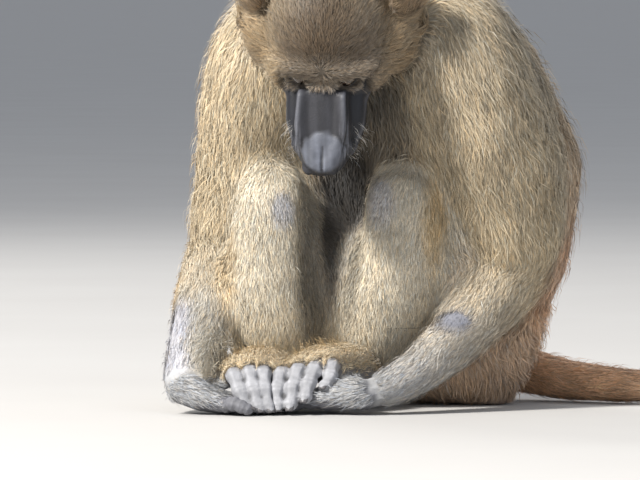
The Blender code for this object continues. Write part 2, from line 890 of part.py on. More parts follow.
def flesh_lengths():
    """The stations and wide axis of the limbs, neck and trunk, by node name."""
    x = Vector((1, 0, 0))
    lengths = {}
    limbs = {"shank": SHANK, "forearm": FOREARM, "thigh": THIGH, "upper_arm": UPPER_ARM}
    for name, pair in limbs.items():
        for side in SIDES:
            lengths[f"{name}_{side}"] = (pair[side], x)
    lengths["neck"] = (NECK, BODY_LEFT)
    lengths["torso"] = (TORSO, BODY_LEFT)
    return lengths


def make_flesh():
    """Trunk, neck and limbs melted into one body."""
    parts = [ball("belly", *BELLY)]
    parts += [loft("part", rows, 20, 3, wide, 2.1) for rows, wide in flesh_lengths().values()]
    return fuse_soft("flesh", parts, *FLESH_MELT, FLESH_TRIANGLES)


def flesh_pieces(flesh):
    """The flesh as one piece for each length, and the torso as what they leave of it."""
    pieces = []
    for name, (stations, wide) in flesh_lengths().items():
        piece = Piece(copy_of(flesh))
        piece.node.name = name
        if name != "torso":
            shape = keep_largest(loft("shape", stations, 9, 1, wide, 2.1, cap_angles=(45,)))
            piece.region = grown(shape, REGION_MARGIN)
            piece.cutters.append(grown(shape, REGION_MARGIN + GAP))
            remove(shape)
        pieces.append(piece)
    return pieces


def make_tail():
    """The tail in four lengths, laid on the floor."""
    up = Vector((0, 0, 1))
    return [loft(name, rows, 10, 2, up, 2.0, 0.35, (45,)) for name, rows in TAIL_LENGTHS.items()]


def make_pads():
    """The two bare pads under the rump."""
    pads = []
    for side in SIDES:
        centre = Vector(PAD_CENTRE) + BODY_LEFT * (PAD_SPREAD * MIRROR[side])
        yaw = math.degrees(BODY_YAW)
        pads.append(ball("seat_pad_" + side, centre, PAD_SIZE, (0, 0, yaw), 12, 6))
    return pads


def boxes_meet(a, b):
    """True where the boxes round two objects overlap."""
    low_a, high_a = bounds_of([a])
    low_b, high_b = bounds_of([b])
    return all(low_a[i] < high_b[i] and low_b[i] < high_a[i] for i in range(3))


def bounds_of(objects):
    """Lowest and highest corner of some objects."""
    points = [v.co for obj in objects for v in obj.data.vertices]
    low = Vector([min(p[i] for p in points) for i in range(3)])
    high = Vector([max(p[i] for p in points) for i in range(3)])
    return low, high


def block(name, low, high):
    """A box between two corners."""
    xs, ys, zs = zip(low, high)
    corners = [(x, y, z) for x in xs for y in ys for z in zs]
    faces = [(0, 1, 3, 2), (4, 6, 7, 5), (0, 4, 5, 1), (2, 3, 7, 6), (0, 2, 6, 4), (1, 5, 7, 3)]
    return mesh_object(name, corners, faces)


def floor_block():
    """A block under the floor that gives each foot its small flat."""
    return block("floor", (-BEYOND, -BEYOND, -BEYOND), (BEYOND, BEYOND, 0))


def cut_clear(node, cutters, by=0.0):
    """Cuts a node clear of all the cutters that its box meets, each grown by a distance."""
    near = [grown(cutter, by) for cutter in cutters if boxes_meet(node, cutter)]
    low, _ = bounds_of([node])
    if low.z < 0:
        near.append(floor_block())
    if near:
        combine(node, near, "DIFFERENCE", "MANIFOLD")
    keep_largest(node)


def part_the_body(pieces, flesh):
    """Keeps each piece's region, cuts it clear of those before it and adds its locks."""
    flesh_tree = surface_tree(flesh)
    lengths = flesh_lengths()
    taken = []
    for number, piece in enumerate(pieces):
        node = piece.node
        if piece.region:
            combine(node, [piece.region], "INTERSECT", "MANIFOLD")
        cut_clear(node, taken)
        coat = COATS.get(node.name)
        if coat:
            locks = coat_locks(node, flesh_tree, *lengths[node.name], coat, SEED + number)
            piece.cutters += [grown(one, GAP) for one in locks]
            combine(node, locks, "UNION", "MANIFOLD")
            cut_clear(node, taken, SHAVE)
        taken += piece.cutters
    remove(*taken)
    for piece in pieces:
        ease_pinches(piece.node)
        if piece.node.name in lengths:
            thin_out(piece.node, SEAM_THINNING)
            keep_largest(piece.node)


def centre_on_floor(nodes):
    """Moves the model so that its origin is the middle of its box, on the floor."""
    low, high = bounds_of(nodes)
    shift = Matrix.Translation((-(low.x + high.x) / 2, -(low.y + high.y) / 2, -low.z))
    for node in nodes:
        node.data.transform(shift)


def main():
    """Builds the animal."""
    for old in list(bpy.data.objects):
        bpy.data.objects.remove(old)
    x = Vector((1, 0, 0))
    y = Vector((0, 1, 0))
    head = make_head()
    muzzle = make_muzzle(head)
    hard = [*(make_eye(side) for side in SIDES), muzzle, head]
    hard += [make_paw("foot_" + side, FOOT[side], TOES[side], x) for side in SIDES]
    hard += [make_paw("hand_" + side, HAND[side], FINGERS[side], y) for side in SIDES]
    hard += [*make_pads(), *make_tail()]
    flesh = make_flesh()
    limbs = flesh_pieces(flesh)
    neck = limbs.pop(-2)
    pieces = [neck, *(make_ear(side) for side in SIDES)]
    pieces += [Piece(node, None, [grown(node, GAP)]) for node in hard]
    pieces += limbs
    part_the_body(pieces, flesh)
    remove(flesh)
    nodes = [piece.node for piece in pieces]
    centre_on_floor(nodes)
    for node in nodes:
        bare = node.name.startswith(BARE_NODES)
        paint(node, SKIN_COLOUR if bare else FUR_COLOUR)


if __name__ == "__main__":
    main()
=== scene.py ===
"""The looks of a Guinea baboon that sits hunched with its head bowed over its knees.

One melted skin stands for the flesh of the trunk and limbs, a finer one for the head and one
for each hand and foot. The coat is grown over them as thin bent tufts that follow the lie of
the hair. Skin and coat take their markings from the same fields.
"""

import logging
import math
from collections.abc import Iterator
from contextlib import contextmanager
from dataclasses import dataclass
from enum import Enum

import bmesh
import bpy
import numpy as np
from mathutils import Euler, Matrix, Vector
from mathutils.bvhtree import BVHTree
from mathutils.kdtree import KDTree


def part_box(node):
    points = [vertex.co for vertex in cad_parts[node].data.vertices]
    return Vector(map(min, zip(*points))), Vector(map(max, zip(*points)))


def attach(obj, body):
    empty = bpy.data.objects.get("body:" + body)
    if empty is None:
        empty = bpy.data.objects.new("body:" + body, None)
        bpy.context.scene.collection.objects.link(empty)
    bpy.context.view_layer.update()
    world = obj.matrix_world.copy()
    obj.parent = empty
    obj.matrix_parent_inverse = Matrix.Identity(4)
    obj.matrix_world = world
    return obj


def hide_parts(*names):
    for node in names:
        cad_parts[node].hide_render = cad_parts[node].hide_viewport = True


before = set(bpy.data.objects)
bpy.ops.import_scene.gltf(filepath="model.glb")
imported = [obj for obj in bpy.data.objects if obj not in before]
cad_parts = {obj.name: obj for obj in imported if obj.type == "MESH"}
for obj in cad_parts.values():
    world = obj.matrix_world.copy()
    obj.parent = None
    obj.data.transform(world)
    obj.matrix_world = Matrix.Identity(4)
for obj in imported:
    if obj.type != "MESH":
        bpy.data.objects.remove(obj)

LOG = logging.getLogger("baboon")
MM = 0.001
SIDES = ("left", "right")
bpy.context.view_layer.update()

# Places are drawn in millimetres from a point of the floor that lies here from the origin.
DRAWING_ORIGIN = (-163.7, -114.9, 0.0)

# How far nodes are swollen before they are melted, so that the cuts between them close.
SEAM_SWELL = 0.4
# Nothing of the coat reaches lower than this above the floor, in metres.
FLOOR_CLEARANCE = 0.0005
ROOT = "root"
# Points nearer than this, in metres, are one point, and no vector counts as shorter than this.
SAME_POINT = 1e-5
SHORTEST = 1e-9

# The unwrap of the animal's pieces, and the width of a tuft's own patch of it.
BAKE_UV = "OFBake"
TUFT_PATCH = 0.003
UNWRAP_ANGLE = math.radians(66)
UNWRAP_MARGIN = 0.002
MARKINGS = "markings"

# Wandering values are the sum of this many waves, whose lengths vary by these shares.
RIPPLE_WAVES = 6
RIPPLE_RANGE = (0.6, 1.4)
# Slow changes of colour over the coat: their strength, width in millimetres and seed.
DRIFTS = ((0.09, 60, 5), (0.08, 18, 6))
# Hair that runs away from a place also leans this much along its region's line.
AWAY_LEAN = 0.35
# Rounds that soften the edge of what is smoothed, and of a patch on some nodes.
EASE_EDGE = 12
PATCH_BLEND = 6
# Rounds that even the skin out, against which its crevices are measured for painted shade.
CREVICE_SHADING_REACH = 3
# A patch fades out between these shares of its reach.
PATCH_EDGE = (0.5, 1.2)

# Tufts stray sideways in waves of two widths, in millimetres, with seeds this far apart.
STRAY_WAVES = (34, 12)
SECOND_WAVE = 0.7
WAVE_SEEDS = 50
# Least and greatest shares of a tuft's length, lift and width.
LENGTHS = (0.55, 1.15)
LIFTS = (0.4, 1.5)
WIDTHS = (0.65, 1.3)
STRAY_LIFT = 1.6
# A tuft bends at this share of its length, and rises there by these shares of length and lift.
BEND_PLACE = 0.42
BEND_RISE = (0.07, 0.35)
TWIST = 0.35
# One tuft in so many leads the others near it, and they lean to it by these shares.
LEADER_SHARE = 12
FEWEST_LEADERS = 8
PULLS = (0.2, 1.4)
# Dark, plain and light hairs, how many there are of each and how much each kind varies.
KINDS = (0.5, 1.0, 1.4)
KIND_SHARES = (0.24, 0.48, 0.28)
KIND_SPREAD = 0.14
GRIZZLE_LIMITS = (0.25, 2.0)
WARMTH = 0.06
WARM = (1.0, 0.2, -0.9)
# A digit whose line leans less than this from the vertical has its nail's side along x.
UPRIGHT = 0.2
# A tuft is shaded mostly as the skin below it and a little as its own face.
SKIN_SHADING = 0.85

Colour = tuple[float, float, float]
Place = tuple[float, float, float]


class Lie(Enum):
    """How the hair of a region lies."""

    ALONG = "along the region's line"
    AWAY = "away from the start of the region's line"


@dataclass(frozen=True)
class Region:
    """One part of the body: its nodes, the line its hair follows, and its coat from start to end.

    Length is that of the hair and depth is how far the skin lies under the solids, both in
    millimetres, and cover is the share of the full number of tufts.
    """

    nodes: tuple[str, ...]
    line: tuple[Place, ...]
    length: tuple[float, float]
    depth: tuple[float, float]
    start: Colour
    end: Colour
    lie: Lie = Lie.ALONG
    droop: float = 0.2
    cover: tuple[float, float] = (1.0, 1.0)


OLIVE: Colour = (0.50, 0.41, 0.275)
# One arm fur, painted lighter for the right arm in light and darker for the left arm in shade.
ARM_LIT: Colour = (0.52, 0.43, 0.295)
SHADED_ARM: Colour = (0.43, 0.36, 0.255)
GOLD: Colour = (0.54, 0.40, 0.22)
CHEEK: Colour = (0.30, 0.22, 0.13)
CROWN: Colour = (0.085, 0.057, 0.033)
BROW: Colour = (0.24, 0.195, 0.145)
CREAM: Colour = (0.58, 0.52, 0.41)
GREY_FUR: Colour = (0.42, 0.40, 0.36)
HAND_FUR: Colour = (0.36, 0.365, 0.375)
FOOT_FUR: Colour = (0.68, 0.57, 0.40)
RUST: Colour = (0.68, 0.42, 0.25)
RUST_BROWN: Colour = (0.50, 0.36, 0.25)
TAIL_TOP: Colour = (0.80, 0.51, 0.31)
# Painted shade: the fur of the belly, chest and neck in the shade of the bowed head.
BELLY_SHADE: Colour = (0.06, 0.054, 0.046)
# Deeper painted shade for the sunken gap between the legs.
GAP_SHADE: Colour = (0.03, 0.027, 0.024)
# The inner sides of the shanks: their greyer fur, darkened further by painted shade between the legs.
INNER_SHANK_SHADE: Colour = (0.15, 0.135, 0.11)
SKIN: Colour = (0.15, 0.152, 0.17)
SKIN_PALE: Colour = (0.46, 0.46, 0.49)
# Bare forearm skin, painted in light for the right forearm and in shade for the left one.
SKIN_LIT: Colour = (0.42, 0.42, 0.46)
SHADED_BARE_SKIN: Colour = (0.15, 0.158, 0.19)
TOE_SKIN: Colour = (0.34, 0.345, 0.37)
EAR_SKIN: Colour = (0.30, 0.215, 0.13)
SKIN_PINK: Colour = (0.26, 0.20, 0.20)

NASION: Place = (2, -58, 316)
HEAD_PITCH = math.radians(86)
HEAD_YAW = math.radians(-8)
HEAD_ROLL = math.radians(2)
# The crease between the brows, which the hair of the head runs away from.
PARTING: Place = (2, -66, 331)

REGIONS = (
    Region(("head", "eye_left", "eye_right"), (PARTING, (5, 15, 420)), (7, 24), (2.4, 6),
           BROW, OLIVE, Lie.AWAY, 0.0),
    Region(("ear_left", "ear_right"), ((5, 0, 380), (5, 0, 420)), (13, 13), (0.6, 0.6),
           EAR_SKIN, EAR_SKIN, Lie.AWAY, 0.0, (1.0, 1.0)),
    Region(("muzzle",), (NASION, (2, -85, 230)), (2, 2), (0.1, 0.1), SKIN, SKIN, Lie.AWAY, 0.0,
           (0.02, 0.02)),
    Region(("neck",), ((14, 8, 380), (68, 85, 384)), (26, 30), (8, 8), OLIVE, OLIVE),
    Region(("torso",), ((54, 74, 400), (116, 167, 318), (120, 185, 200), (133, 195, 60)), (30, 24), (8, 7),
           OLIVE, RUST_BROWN),
    # The left arm starts in painted shade, the right one in painted light.
    Region(("upper_arm_left",), ((128, 34, 356), (188, 80, 152)), (24, 20), (5, 4), SHADED_ARM, OLIVE),
    Region(("upper_arm_right",), ((-44, 108, 358), (-92, 146, 160)), (24, 20), (5, 4), ARM_LIT, ARM_LIT),
    Region(("forearm_left",), ((190, 86, 138), (158, 56, 100), (123, 23, 64), (92, -4, 39), (46, -27, 21)),
           (20, 12), (4.5, 1.6), OLIVE, HAND_FUR, cover=(1.0, 0.9)),
    Region(("forearm_right",), ((-96, 150, 150), (-107, 102, 114), (-117, 56, 74), (-128, 2, 28)),
           (20, 12), (4.5, 1.6), ARM_LIT, GREY_FUR, cover=(1.0, 0.9)),
    Region(("thigh_left",), ((84, 52, 190), (158, 150, 78)), (20, 24), (5, 6), CREAM, RUST_BROWN),
    Region(("thigh_right",), ((-38, 78, 190), (70, 176, 80)), (20, 24), (5, 6), CREAM, RUST_BROWN),
    Region(("shank_left",), ((79, 38, 206), (54, 92, 56)), (14, 12), (3.6, 2.4), CREAM, CREAM),
    Region(("shank_right",), ((-41, 64, 208), (-45, 98, 58)), (14, 12), (3.6, 2.4), CREAM, CREAM),
    Region(("tail_root", "tail_middle", "tail_end", "tail_tip"),
           ((148, 226, 44), (238, 194, 22), (364, 150, 17), (450, 208, 15), (466, 312, 12)),
           (17, 11), (3.5, 3), TAIL_TOP, RUST, droop=0.0),
    Region(("hand_left",), ((46, -27, 21), (-5, -2, 8)), (12, 7), (0.6, 0.1), SKIN, SKIN, droop=0.0,
           cover=(1.0, 0.0)),
    Region(("hand_right",), ((-129, 0, 25), (-85, -14, 8)), (12, 7), (0.6, 0.1), SKIN, SKIN, droop=0.0,
           cover=(1.0, 0.0)),
    Region(("foot_left",), ((58, 124, 30), (0, 8, 40), (-10, -10, 30)), (13, 9), (0.9, 0.1),
           TOE_SKIN, TOE_SKIN, droop=0.0),
    Region(("foot_right",), ((-50, 130, 30), (-60, 6, 40), (-60, -10, 30)), (13, 9), (0.9, 0.1),
           TOE_SKIN, TOE_SKIN, droop=0.0),
    Region(("seat_pad_left", "seat_pad_right"), ((140, 166, 20), (140, 166, 0)), (4, 4), (0.2, 0.2),
           SKIN_PINK, SKIN_PINK, droop=0.0, cover=(0.0, 0.0)),
)


@dataclass(frozen=True)
class Patch:
    """A round patch that changes the colour and cover of the coat, with a soft edge.

    Sunk is how much deeper the skin lies there and longer how much longer the hair is, in
    millimetres, and fluff how much more the hair stands up. Where nodes are named, the patch
    marks only those.
    """

    centre: Place
    reach: tuple[float, float, float]
    colour: Colour
    strength: float
    bare: float = 0.0
    sunk: float = 0.0
    longer: float = 0.0
    fluff: float = 0.0
    nodes: tuple[str, ...] = ()


SHANKS = ("shank_left", "shank_right")
UNDERSIDE = ("torso", "neck", "thigh_left", "thigh_right")
PATCHES = (
    Patch((165, 110, 48), (75, 85, 55), RUST_BROWN, 0.7),
    Patch((222, 130, 130), (44, 64, 75), RUST, 0.6),
    # Painted shade under the bowed head and between the arms and knees.
    Patch((20, 60, 180), (75, 90, 120), BELLY_SHADE, 0.97, nodes=UNDERSIDE),
    Patch((13, 15, 325), (75, 75, 70), BELLY_SHADE, 0.9, nodes=UNDERSIDE),
    Patch((62, 44, 280), (36, 60, 85), BELLY_SHADE, 0.65, nodes=("torso", "neck", "upper_arm_left")),
    Patch((-50, -30, 335), (26, 50, 42), GOLD, 0.5),
    # A dark, sunken, short-haired sheet of painted shade in the gap between the legs.
    Patch((24, 80, 185), (36, 70, 110), GAP_SHADE, 1.0, sunk=6.0, longer=-12.0, nodes=UNDERSIDE),
    # The shanks' inner sides, greyer and darkened by painted shade between the legs.
    Patch((-6, 66, 130), (20, 60, 100), INNER_SHANK_SHADE, 0.85, longer=-4.0, nodes=SHANKS),
    Patch((-4, 66, 168), (20, 60, 70), INNER_SHANK_SHADE, 0.3, sunk=8.0, nodes=SHANKS),
    Patch((26, 66, 150), (18, 60, 100), INNER_SHANK_SHADE, 0.5, longer=-4.0, nodes=SHANKS),
    Patch((28, 66, 172), (18, 60, 70), INNER_SHANK_SHADE, 0.3, sunk=7.0, nodes=SHANKS),
    Patch((106, 42, 190), (15, 40, 56), GOLD, 0.85),
    Patch((-140, 110, 110), (16, 40, 40), GOLD, 0.8),
    Patch((-90, 60, 150), (14, 40, 60), GOLD, 0.6),
    Patch((-36, 28, 198), (13, 30, 22), SKIN_PALE, 0.8, 0.6, longer=-6.0),
    Patch((57, 10, 208), (18, 30, 30), SKIN_PALE, 0.65, 0.5, longer=-6.0),
    # The right forearm's bare skin in painted light.
    Patch((-136, 42, 90), (20, 36, 44), SKIN_LIT, 0.95, 0.93, nodes=("forearm_right",)),
    Patch((-142, 2, 54), (22, 34, 36), SKIN_LIT, 0.95, 0.9, nodes=("forearm_right",)),
    Patch((-142, -2, 27), (30, 36, 16), HAND_FUR, 0.9, nodes=("forearm_right", "hand_right")),
    # The left forearm's bare skin in painted shade.
    Patch((129, 8, 92), (26, 28, 16), SHADED_BARE_SKIN, 0.95, 0.94, longer=-12.0),
    Patch((-112, 50, 84), (16, 60, 44), GREY_FUR, 0.6, nodes=("forearm_right",)),
    Patch((-96, 10, 50), (20, 60, 50), CREAM, 0.6, longer=8.0, fluff=2.0, nodes=("forearm_right",)),
)

# Each digit from its base over the knuckles to its tip, with its radius, in millimetres.
Digit = tuple[tuple[Place, ...], float]
DIGITS: dict[str, tuple[Digit, ...]] = {
    "foot_left": (
        (((-32, 8, 40), (-37, -14, 38), (-41, -28, 24), (-40, -36, 8)), 7.4),
        (((-17, 8, 43), (-21, -16, 41), (-26, -30, 26), (-28, -38, 9)), 7.8),
        (((-2, 8, 45), (-5, -15, 43), (-11, -30, 30), (-14, -38, 16)), 7.6),
        (((12, 12, 47), (12, -8, 46), (10, -23, 36), (5, -31, 27)), 7.6),
        (((-4, 50, 38), (-18, 36, 33), (-28, 20, 28), (-33, 8, 26)), 7.2),
    ),
    "foot_right": (
        (((-82, 8, 38), (-82, -14, 37), (-76, -28, 23), (-70, -37, 7)), 7.8),
        (((-66, 8, 41), (-67, -16, 39), (-63, -30, 24), (-58, -39, 7)), 7.8),
        (((-52, 8, 41), (-54, -15, 39), (-52, -30, 24), (-48, -39, 7)), 7.4),
        (((-46, 12, 38), (-47, -6, 36), (-49, -19, 22), (-49, -25, 8)), 6.2),
        (((-40, 54, 34), (-34, 38, 30), (-33, 20, 27), (-36, 8, 25)), 7.0),
    ),
    "hand_left": (
        (((6, -22, 12), (-8, -20, 12), (-22, -15, 10), (-32, -12, 6)), 6.4),
        (((4, -9, 12), (-12, -6, 12), (-30, -3, 10), (-42, 0, 6)), 6.8),
        (((4, 4, 12), (-12, 8, 11), (-30, 11, 9), (-42, 14, 6)), 6.8),
        (((5, 16, 11), (-8, 21, 10), (-22, 25, 8), (-32, 28, 6)), 6.2),
        (((26, -4, 14), (18, 12, 11), (12, 26, 8), (8, 36, 6)), 6.2),
    ),
    "hand_right": (
        (((-90, -34, 9), (-82, -46, 12), (-74, -50, 9), (-67, -51, 6)), 6.6),
        (((-86, -14, 9), (-74, -14, 10), (-62, -12, 9), (-52, -10, 6)), 6.6),
        (((-86, 0, 9), (-74, 3, 10), (-62, 5, 8), (-52, 7, 6)), 6.6),
        (((-88, 12, 8), (-77, 18, 9), (-66, 21, 8), (-56, 23, 6)), 6.2),
        (((-112, 2, 18), (-104, 8, 25), (-96, 7, 28), (-90, 4, 27)), 6.4),
    ),
}


def metres(place: Place) -> Vector:
    """A drawn place in millimetres as a vector in metres."""
    return (Vector(place) + Vector(DRAWING_ORIGIN)) * MM


def drawn(points: np.ndarray) -> np.ndarray:
    """Points in metres as drawn places in millimetres."""
    return points / MM - np.array(DRAWING_ORIGIN)


def unit(rows: np.ndarray) -> np.ndarray:
    """Rows of vectors made one long."""
    return rows / np.maximum(np.linalg.norm(rows, axis=-1, keepdims=True), SHORTEST)


def soft(values: np.ndarray, low: float, high: float) -> np.ndarray:
    """A smooth step from 0 at low to 1 at high."""
    t = np.clip((values - low) / (high - low), 0, 1)
    return t * t * (3 - 2 * t)


def between(values: np.ndarray, low: float, high: float, edge: float) -> np.ndarray:
    """1 between two values and 0 beyond them, with soft edges of a given width."""
    return soft(values, low - edge, low) * (1 - soft(values, high, high + edge))


def bell(values: np.ndarray, centre: float | np.ndarray, reach: float) -> np.ndarray:
    """A smooth bump of height 1 round a centre."""
    return np.exp(-(((values - centre) / reach) ** 2))


def ripple(points: np.ndarray, size: float, seed: int) -> np.ndarray:
    """A smooth wandering value between about -1 and 1 at each point.

    Args:
        points: Places in metres.
        size: The width of one wave in millimetres.
        seed: Which pattern it is.

    Returns:
        The value at each place.
    """
    rng = np.random.default_rng(seed)
    total = np.zeros(len(points))
    for _ in range(RIPPLE_WAVES):
        wave = rng.normal(size=3)
        wave *= math.tau / (size * MM) * rng.uniform(*RIPPLE_RANGE) / np.linalg.norm(wave)
        total += np.sin(points @ wave + rng.uniform(0, math.tau))
    return total * 2 / RIPPLE_WAVES


class Solids:
    """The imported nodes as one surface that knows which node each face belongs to."""

    def __init__(self) -> None:
        """Gathers the faces of every node."""
        points, faces, owners = [], [], []
        self.names = sorted(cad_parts)
        for number, name in enumerate(self.names):
            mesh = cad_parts[name].data
            start = len(points)
            points.extend(v.co.copy() for v in mesh.vertices)
            faces.extend(tuple(start + i for i in p.vertices) for p in mesh.polygons)
            owners.extend([number] * len(mesh.polygons))
        self.owners = np.array(owners)
        self.tree = BVHTree.FromPolygons(points, faces)

    def owner_of(self, points: np.ndarray) -> np.ndarray:
        """The number of the node whose surface is nearest to each point."""
        found = [self.tree.find_nearest(place)[2] for place in points.tolist()]
        return self.owners[np.array(found)]

    def numbers(self, nodes: tuple[str, ...]) -> list[int]:
        """The numbers of some nodes."""
        return [self.names.index(node) for node in nodes]


SOLIDS = Solids()
REGION_OF_NODE = {node: region for region in REGIONS for node in region.nodes}


def only(obj: bpy.types.Object) -> bpy.types.Object:
    """Makes an object the one that is selected and active.

    Args:
        obj: The object.

    Returns:
        The same object.
    """
    bpy.ops.object.select_all(action="DESELECT")
    obj.select_set(True)
    bpy.context.view_layer.objects.active = obj
    return obj


@contextmanager
def editing(obj: bpy.types.Object) -> Iterator[None]:
    """Opens the mesh of an object for editing, with all of it selected.

    Args:
        obj: The object.

    Returns:
        What a with statement takes, which closes the mesh again at its end.
    """
    only(obj)
    bpy.ops.object.mode_set(mode="EDIT")
    bpy.ops.mesh.select_all(action="SELECT")
    yield
    bpy.ops.object.mode_set(mode="OBJECT")


def joined(objects: list[bpy.types.Object], name: str) -> bpy.types.Object:
    """Joins objects into the first of them.

    Args:
        objects: The objects.
        name: The name that the first gets.

    Returns:
        The first object, which now holds them all.
    """
    first = only(objects[0])
    for obj in objects:
        obj.select_set(True)
    bpy.ops.object.join()
    first.name = name
    return first


def read_rows(items: bpy.types.bpy_prop_collection, name: str, width: int, kind: type) -> np.ndarray:
    """Reads a row of numbers from every item of a mesh's list.

    Args:
        items: The list.
        name: What is read from each item.
        width: How many numbers there are in a row.
        kind: The kind of number.

    Returns:
        The rows.
    """
    flat = np.empty(len(items) * width, kind)
    items.foreach_get(name, flat)
    return flat.reshape(-1, width)


def applied(obj: bpy.types.Object, kind: str, **settings: object) -> bpy.types.Object:
    """Adds a modifier, sets it and applies it.

    Args:
        obj: The object that it shapes.
        kind: The kind of modifier.
        settings: Its settings.

    Returns:
        The same object.
    """
    modifier = only(obj).modifiers.new(kind.lower(), kind)
    for key, value in settings.items():
        setattr(modifier, key, value)
    bpy.ops.object.modifier_apply(modifier=modifier.name)
    return obj


def linked(name: str, data: bpy.types.ID) -> bpy.types.Object:
    """A new object in the scene that holds a mesh, light or camera.

    Args:
        name: Its name.
        data: What it holds.

    Returns:
        The object.
    """
    obj = bpy.data.objects.new(name, data)
    bpy.context.scene.collection.objects.link(obj)
    return obj


def keep_largest(obj: bpy.types.Object) -> None:
    """Keeps only the largest joined surface of an object.

    Args:
        obj: The object, whose mesh is changed.
    """
    shape = bmesh.new()
    shape.from_mesh(obj.data)
    left = set(shape.faces)
    islands = []
    while left:
        stack, island = [left.pop()], []
        while stack:
            face = stack.pop()
            island.append(face)
            for edge in face.edges:
                for other in edge.link_faces:
                    if other in left:
                        left.remove(other)
                        stack.append(other)
        islands.append(island)
    largest = max(islands, key=len)
    scraps = [face for island in islands if island is not largest for face in island]
    bmesh.ops.delete(shape, geom=scraps, context="FACES")
    shape.to_mesh(obj.data)
    shape.free()


@dataclass(frozen=True)
class Stub:
    """The end of a neighbouring node that a skin runs on into, cut off by a plane."""

    node: str
    cut: Place
    towards: Place

    def copy(self, name: str) -> bpy.types.Object:
        """Copies that end and closes it.

        Args:
            name: The copy's name.

        Returns:
            The copy.
        """
        obj = linked(name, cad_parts[self.node].data.copy())
        with editing(obj):
            bpy.ops.mesh.remove_doubles(threshold=SAME_POINT)
            bpy.ops.mesh.bisect(
                plane_co=metres(self.cut), plane_no=self.towards, use_fill=True, clear_inner=True
            )
        return obj


# The neck's end next to the head.
COLLAR = Stub("neck", (28, 29, 381), (-54, -77, -4))


@dataclass(frozen=True)
class Nape:
    """A swelling that carries the back of the head over into the neck, in head coordinates."""

    centre: Place = (0, -86, -62)
    reach: Place = (47, 50, 57)

    def copy(self, name: str) -> bpy.types.Object:
        """Makes a closed ellipsoid there.

        Args:
            name: Its name.

        Returns:
            The ellipsoid.
        """
        bpy.ops.mesh.primitive_uv_sphere_add(segments=32, ring_count=16, radius=1.0)
        ball = bpy.context.object
        ball.name = name
        place = Matrix.Translation(Vector(self.centre) * MM)
        size = Matrix.Diagonal((*(Vector(self.reach) * MM), 1))
        ball.data.transform(Head().matrix() @ place @ size)
        return ball


def melted(
    name: str, nodes: tuple[str, ...], voxel: float, smoothing: int, *ends: Stub | Nape
) -> bpy.types.Object:
    """Copies of CAD nodes melted into one closed skin.

    Args:
        name: The new piece's name.
        nodes: The nodes to copy.
        voxel: The size of the skin's faces in millimetres.
        smoothing: How many times the skin is smoothed.
        ends: Ends of other nodes, or the nape.

    Returns:
        The skin, smooth shaded.
    """
    copies = [linked(name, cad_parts[node].data.copy()) for node in nodes]
    copies.extend(end.copy(name) for end in ends)
    skin = joined(copies, name)
    with editing(skin):
        bpy.ops.mesh.remove_doubles(threshold=SAME_POINT)
    applied(skin, "DISPLACE", strength=SEAM_SWELL * MM, mid_level=0.0)
    return evened(skin, voxel, smoothing)


def evened(skin: bpy.types.Object, voxel: float, smoothing: int) -> bpy.types.Object:
    """Gives a skin even faces, keeps its largest part and smooths it.

    Args:
        skin: The skin.
        voxel: The size of its new faces in millimetres.
        smoothing: How many times it is smoothed.

    Returns:
        The same skin, smooth shaded.
    """
    applied(skin, "REMESH", mode="VOXEL", voxel_size=voxel * MM)
    keep_largest(skin)
    applied(skin, "SMOOTH", factor=0.5, iterations=smoothing)
    bpy.ops.object.shade_smooth()
    return skin


@dataclass(frozen=True)
class CreviceShading:
    """Painted shade in the skin's crevices and painted highlight on its rises: how much darker and
    lighter.

    Crevice and rise are the depths and heights, in millimetres, from which and up to which it
    changes.
    """

    dark: float
    light: float
    crevice: tuple[float, float]
    rise: tuple[float, float]


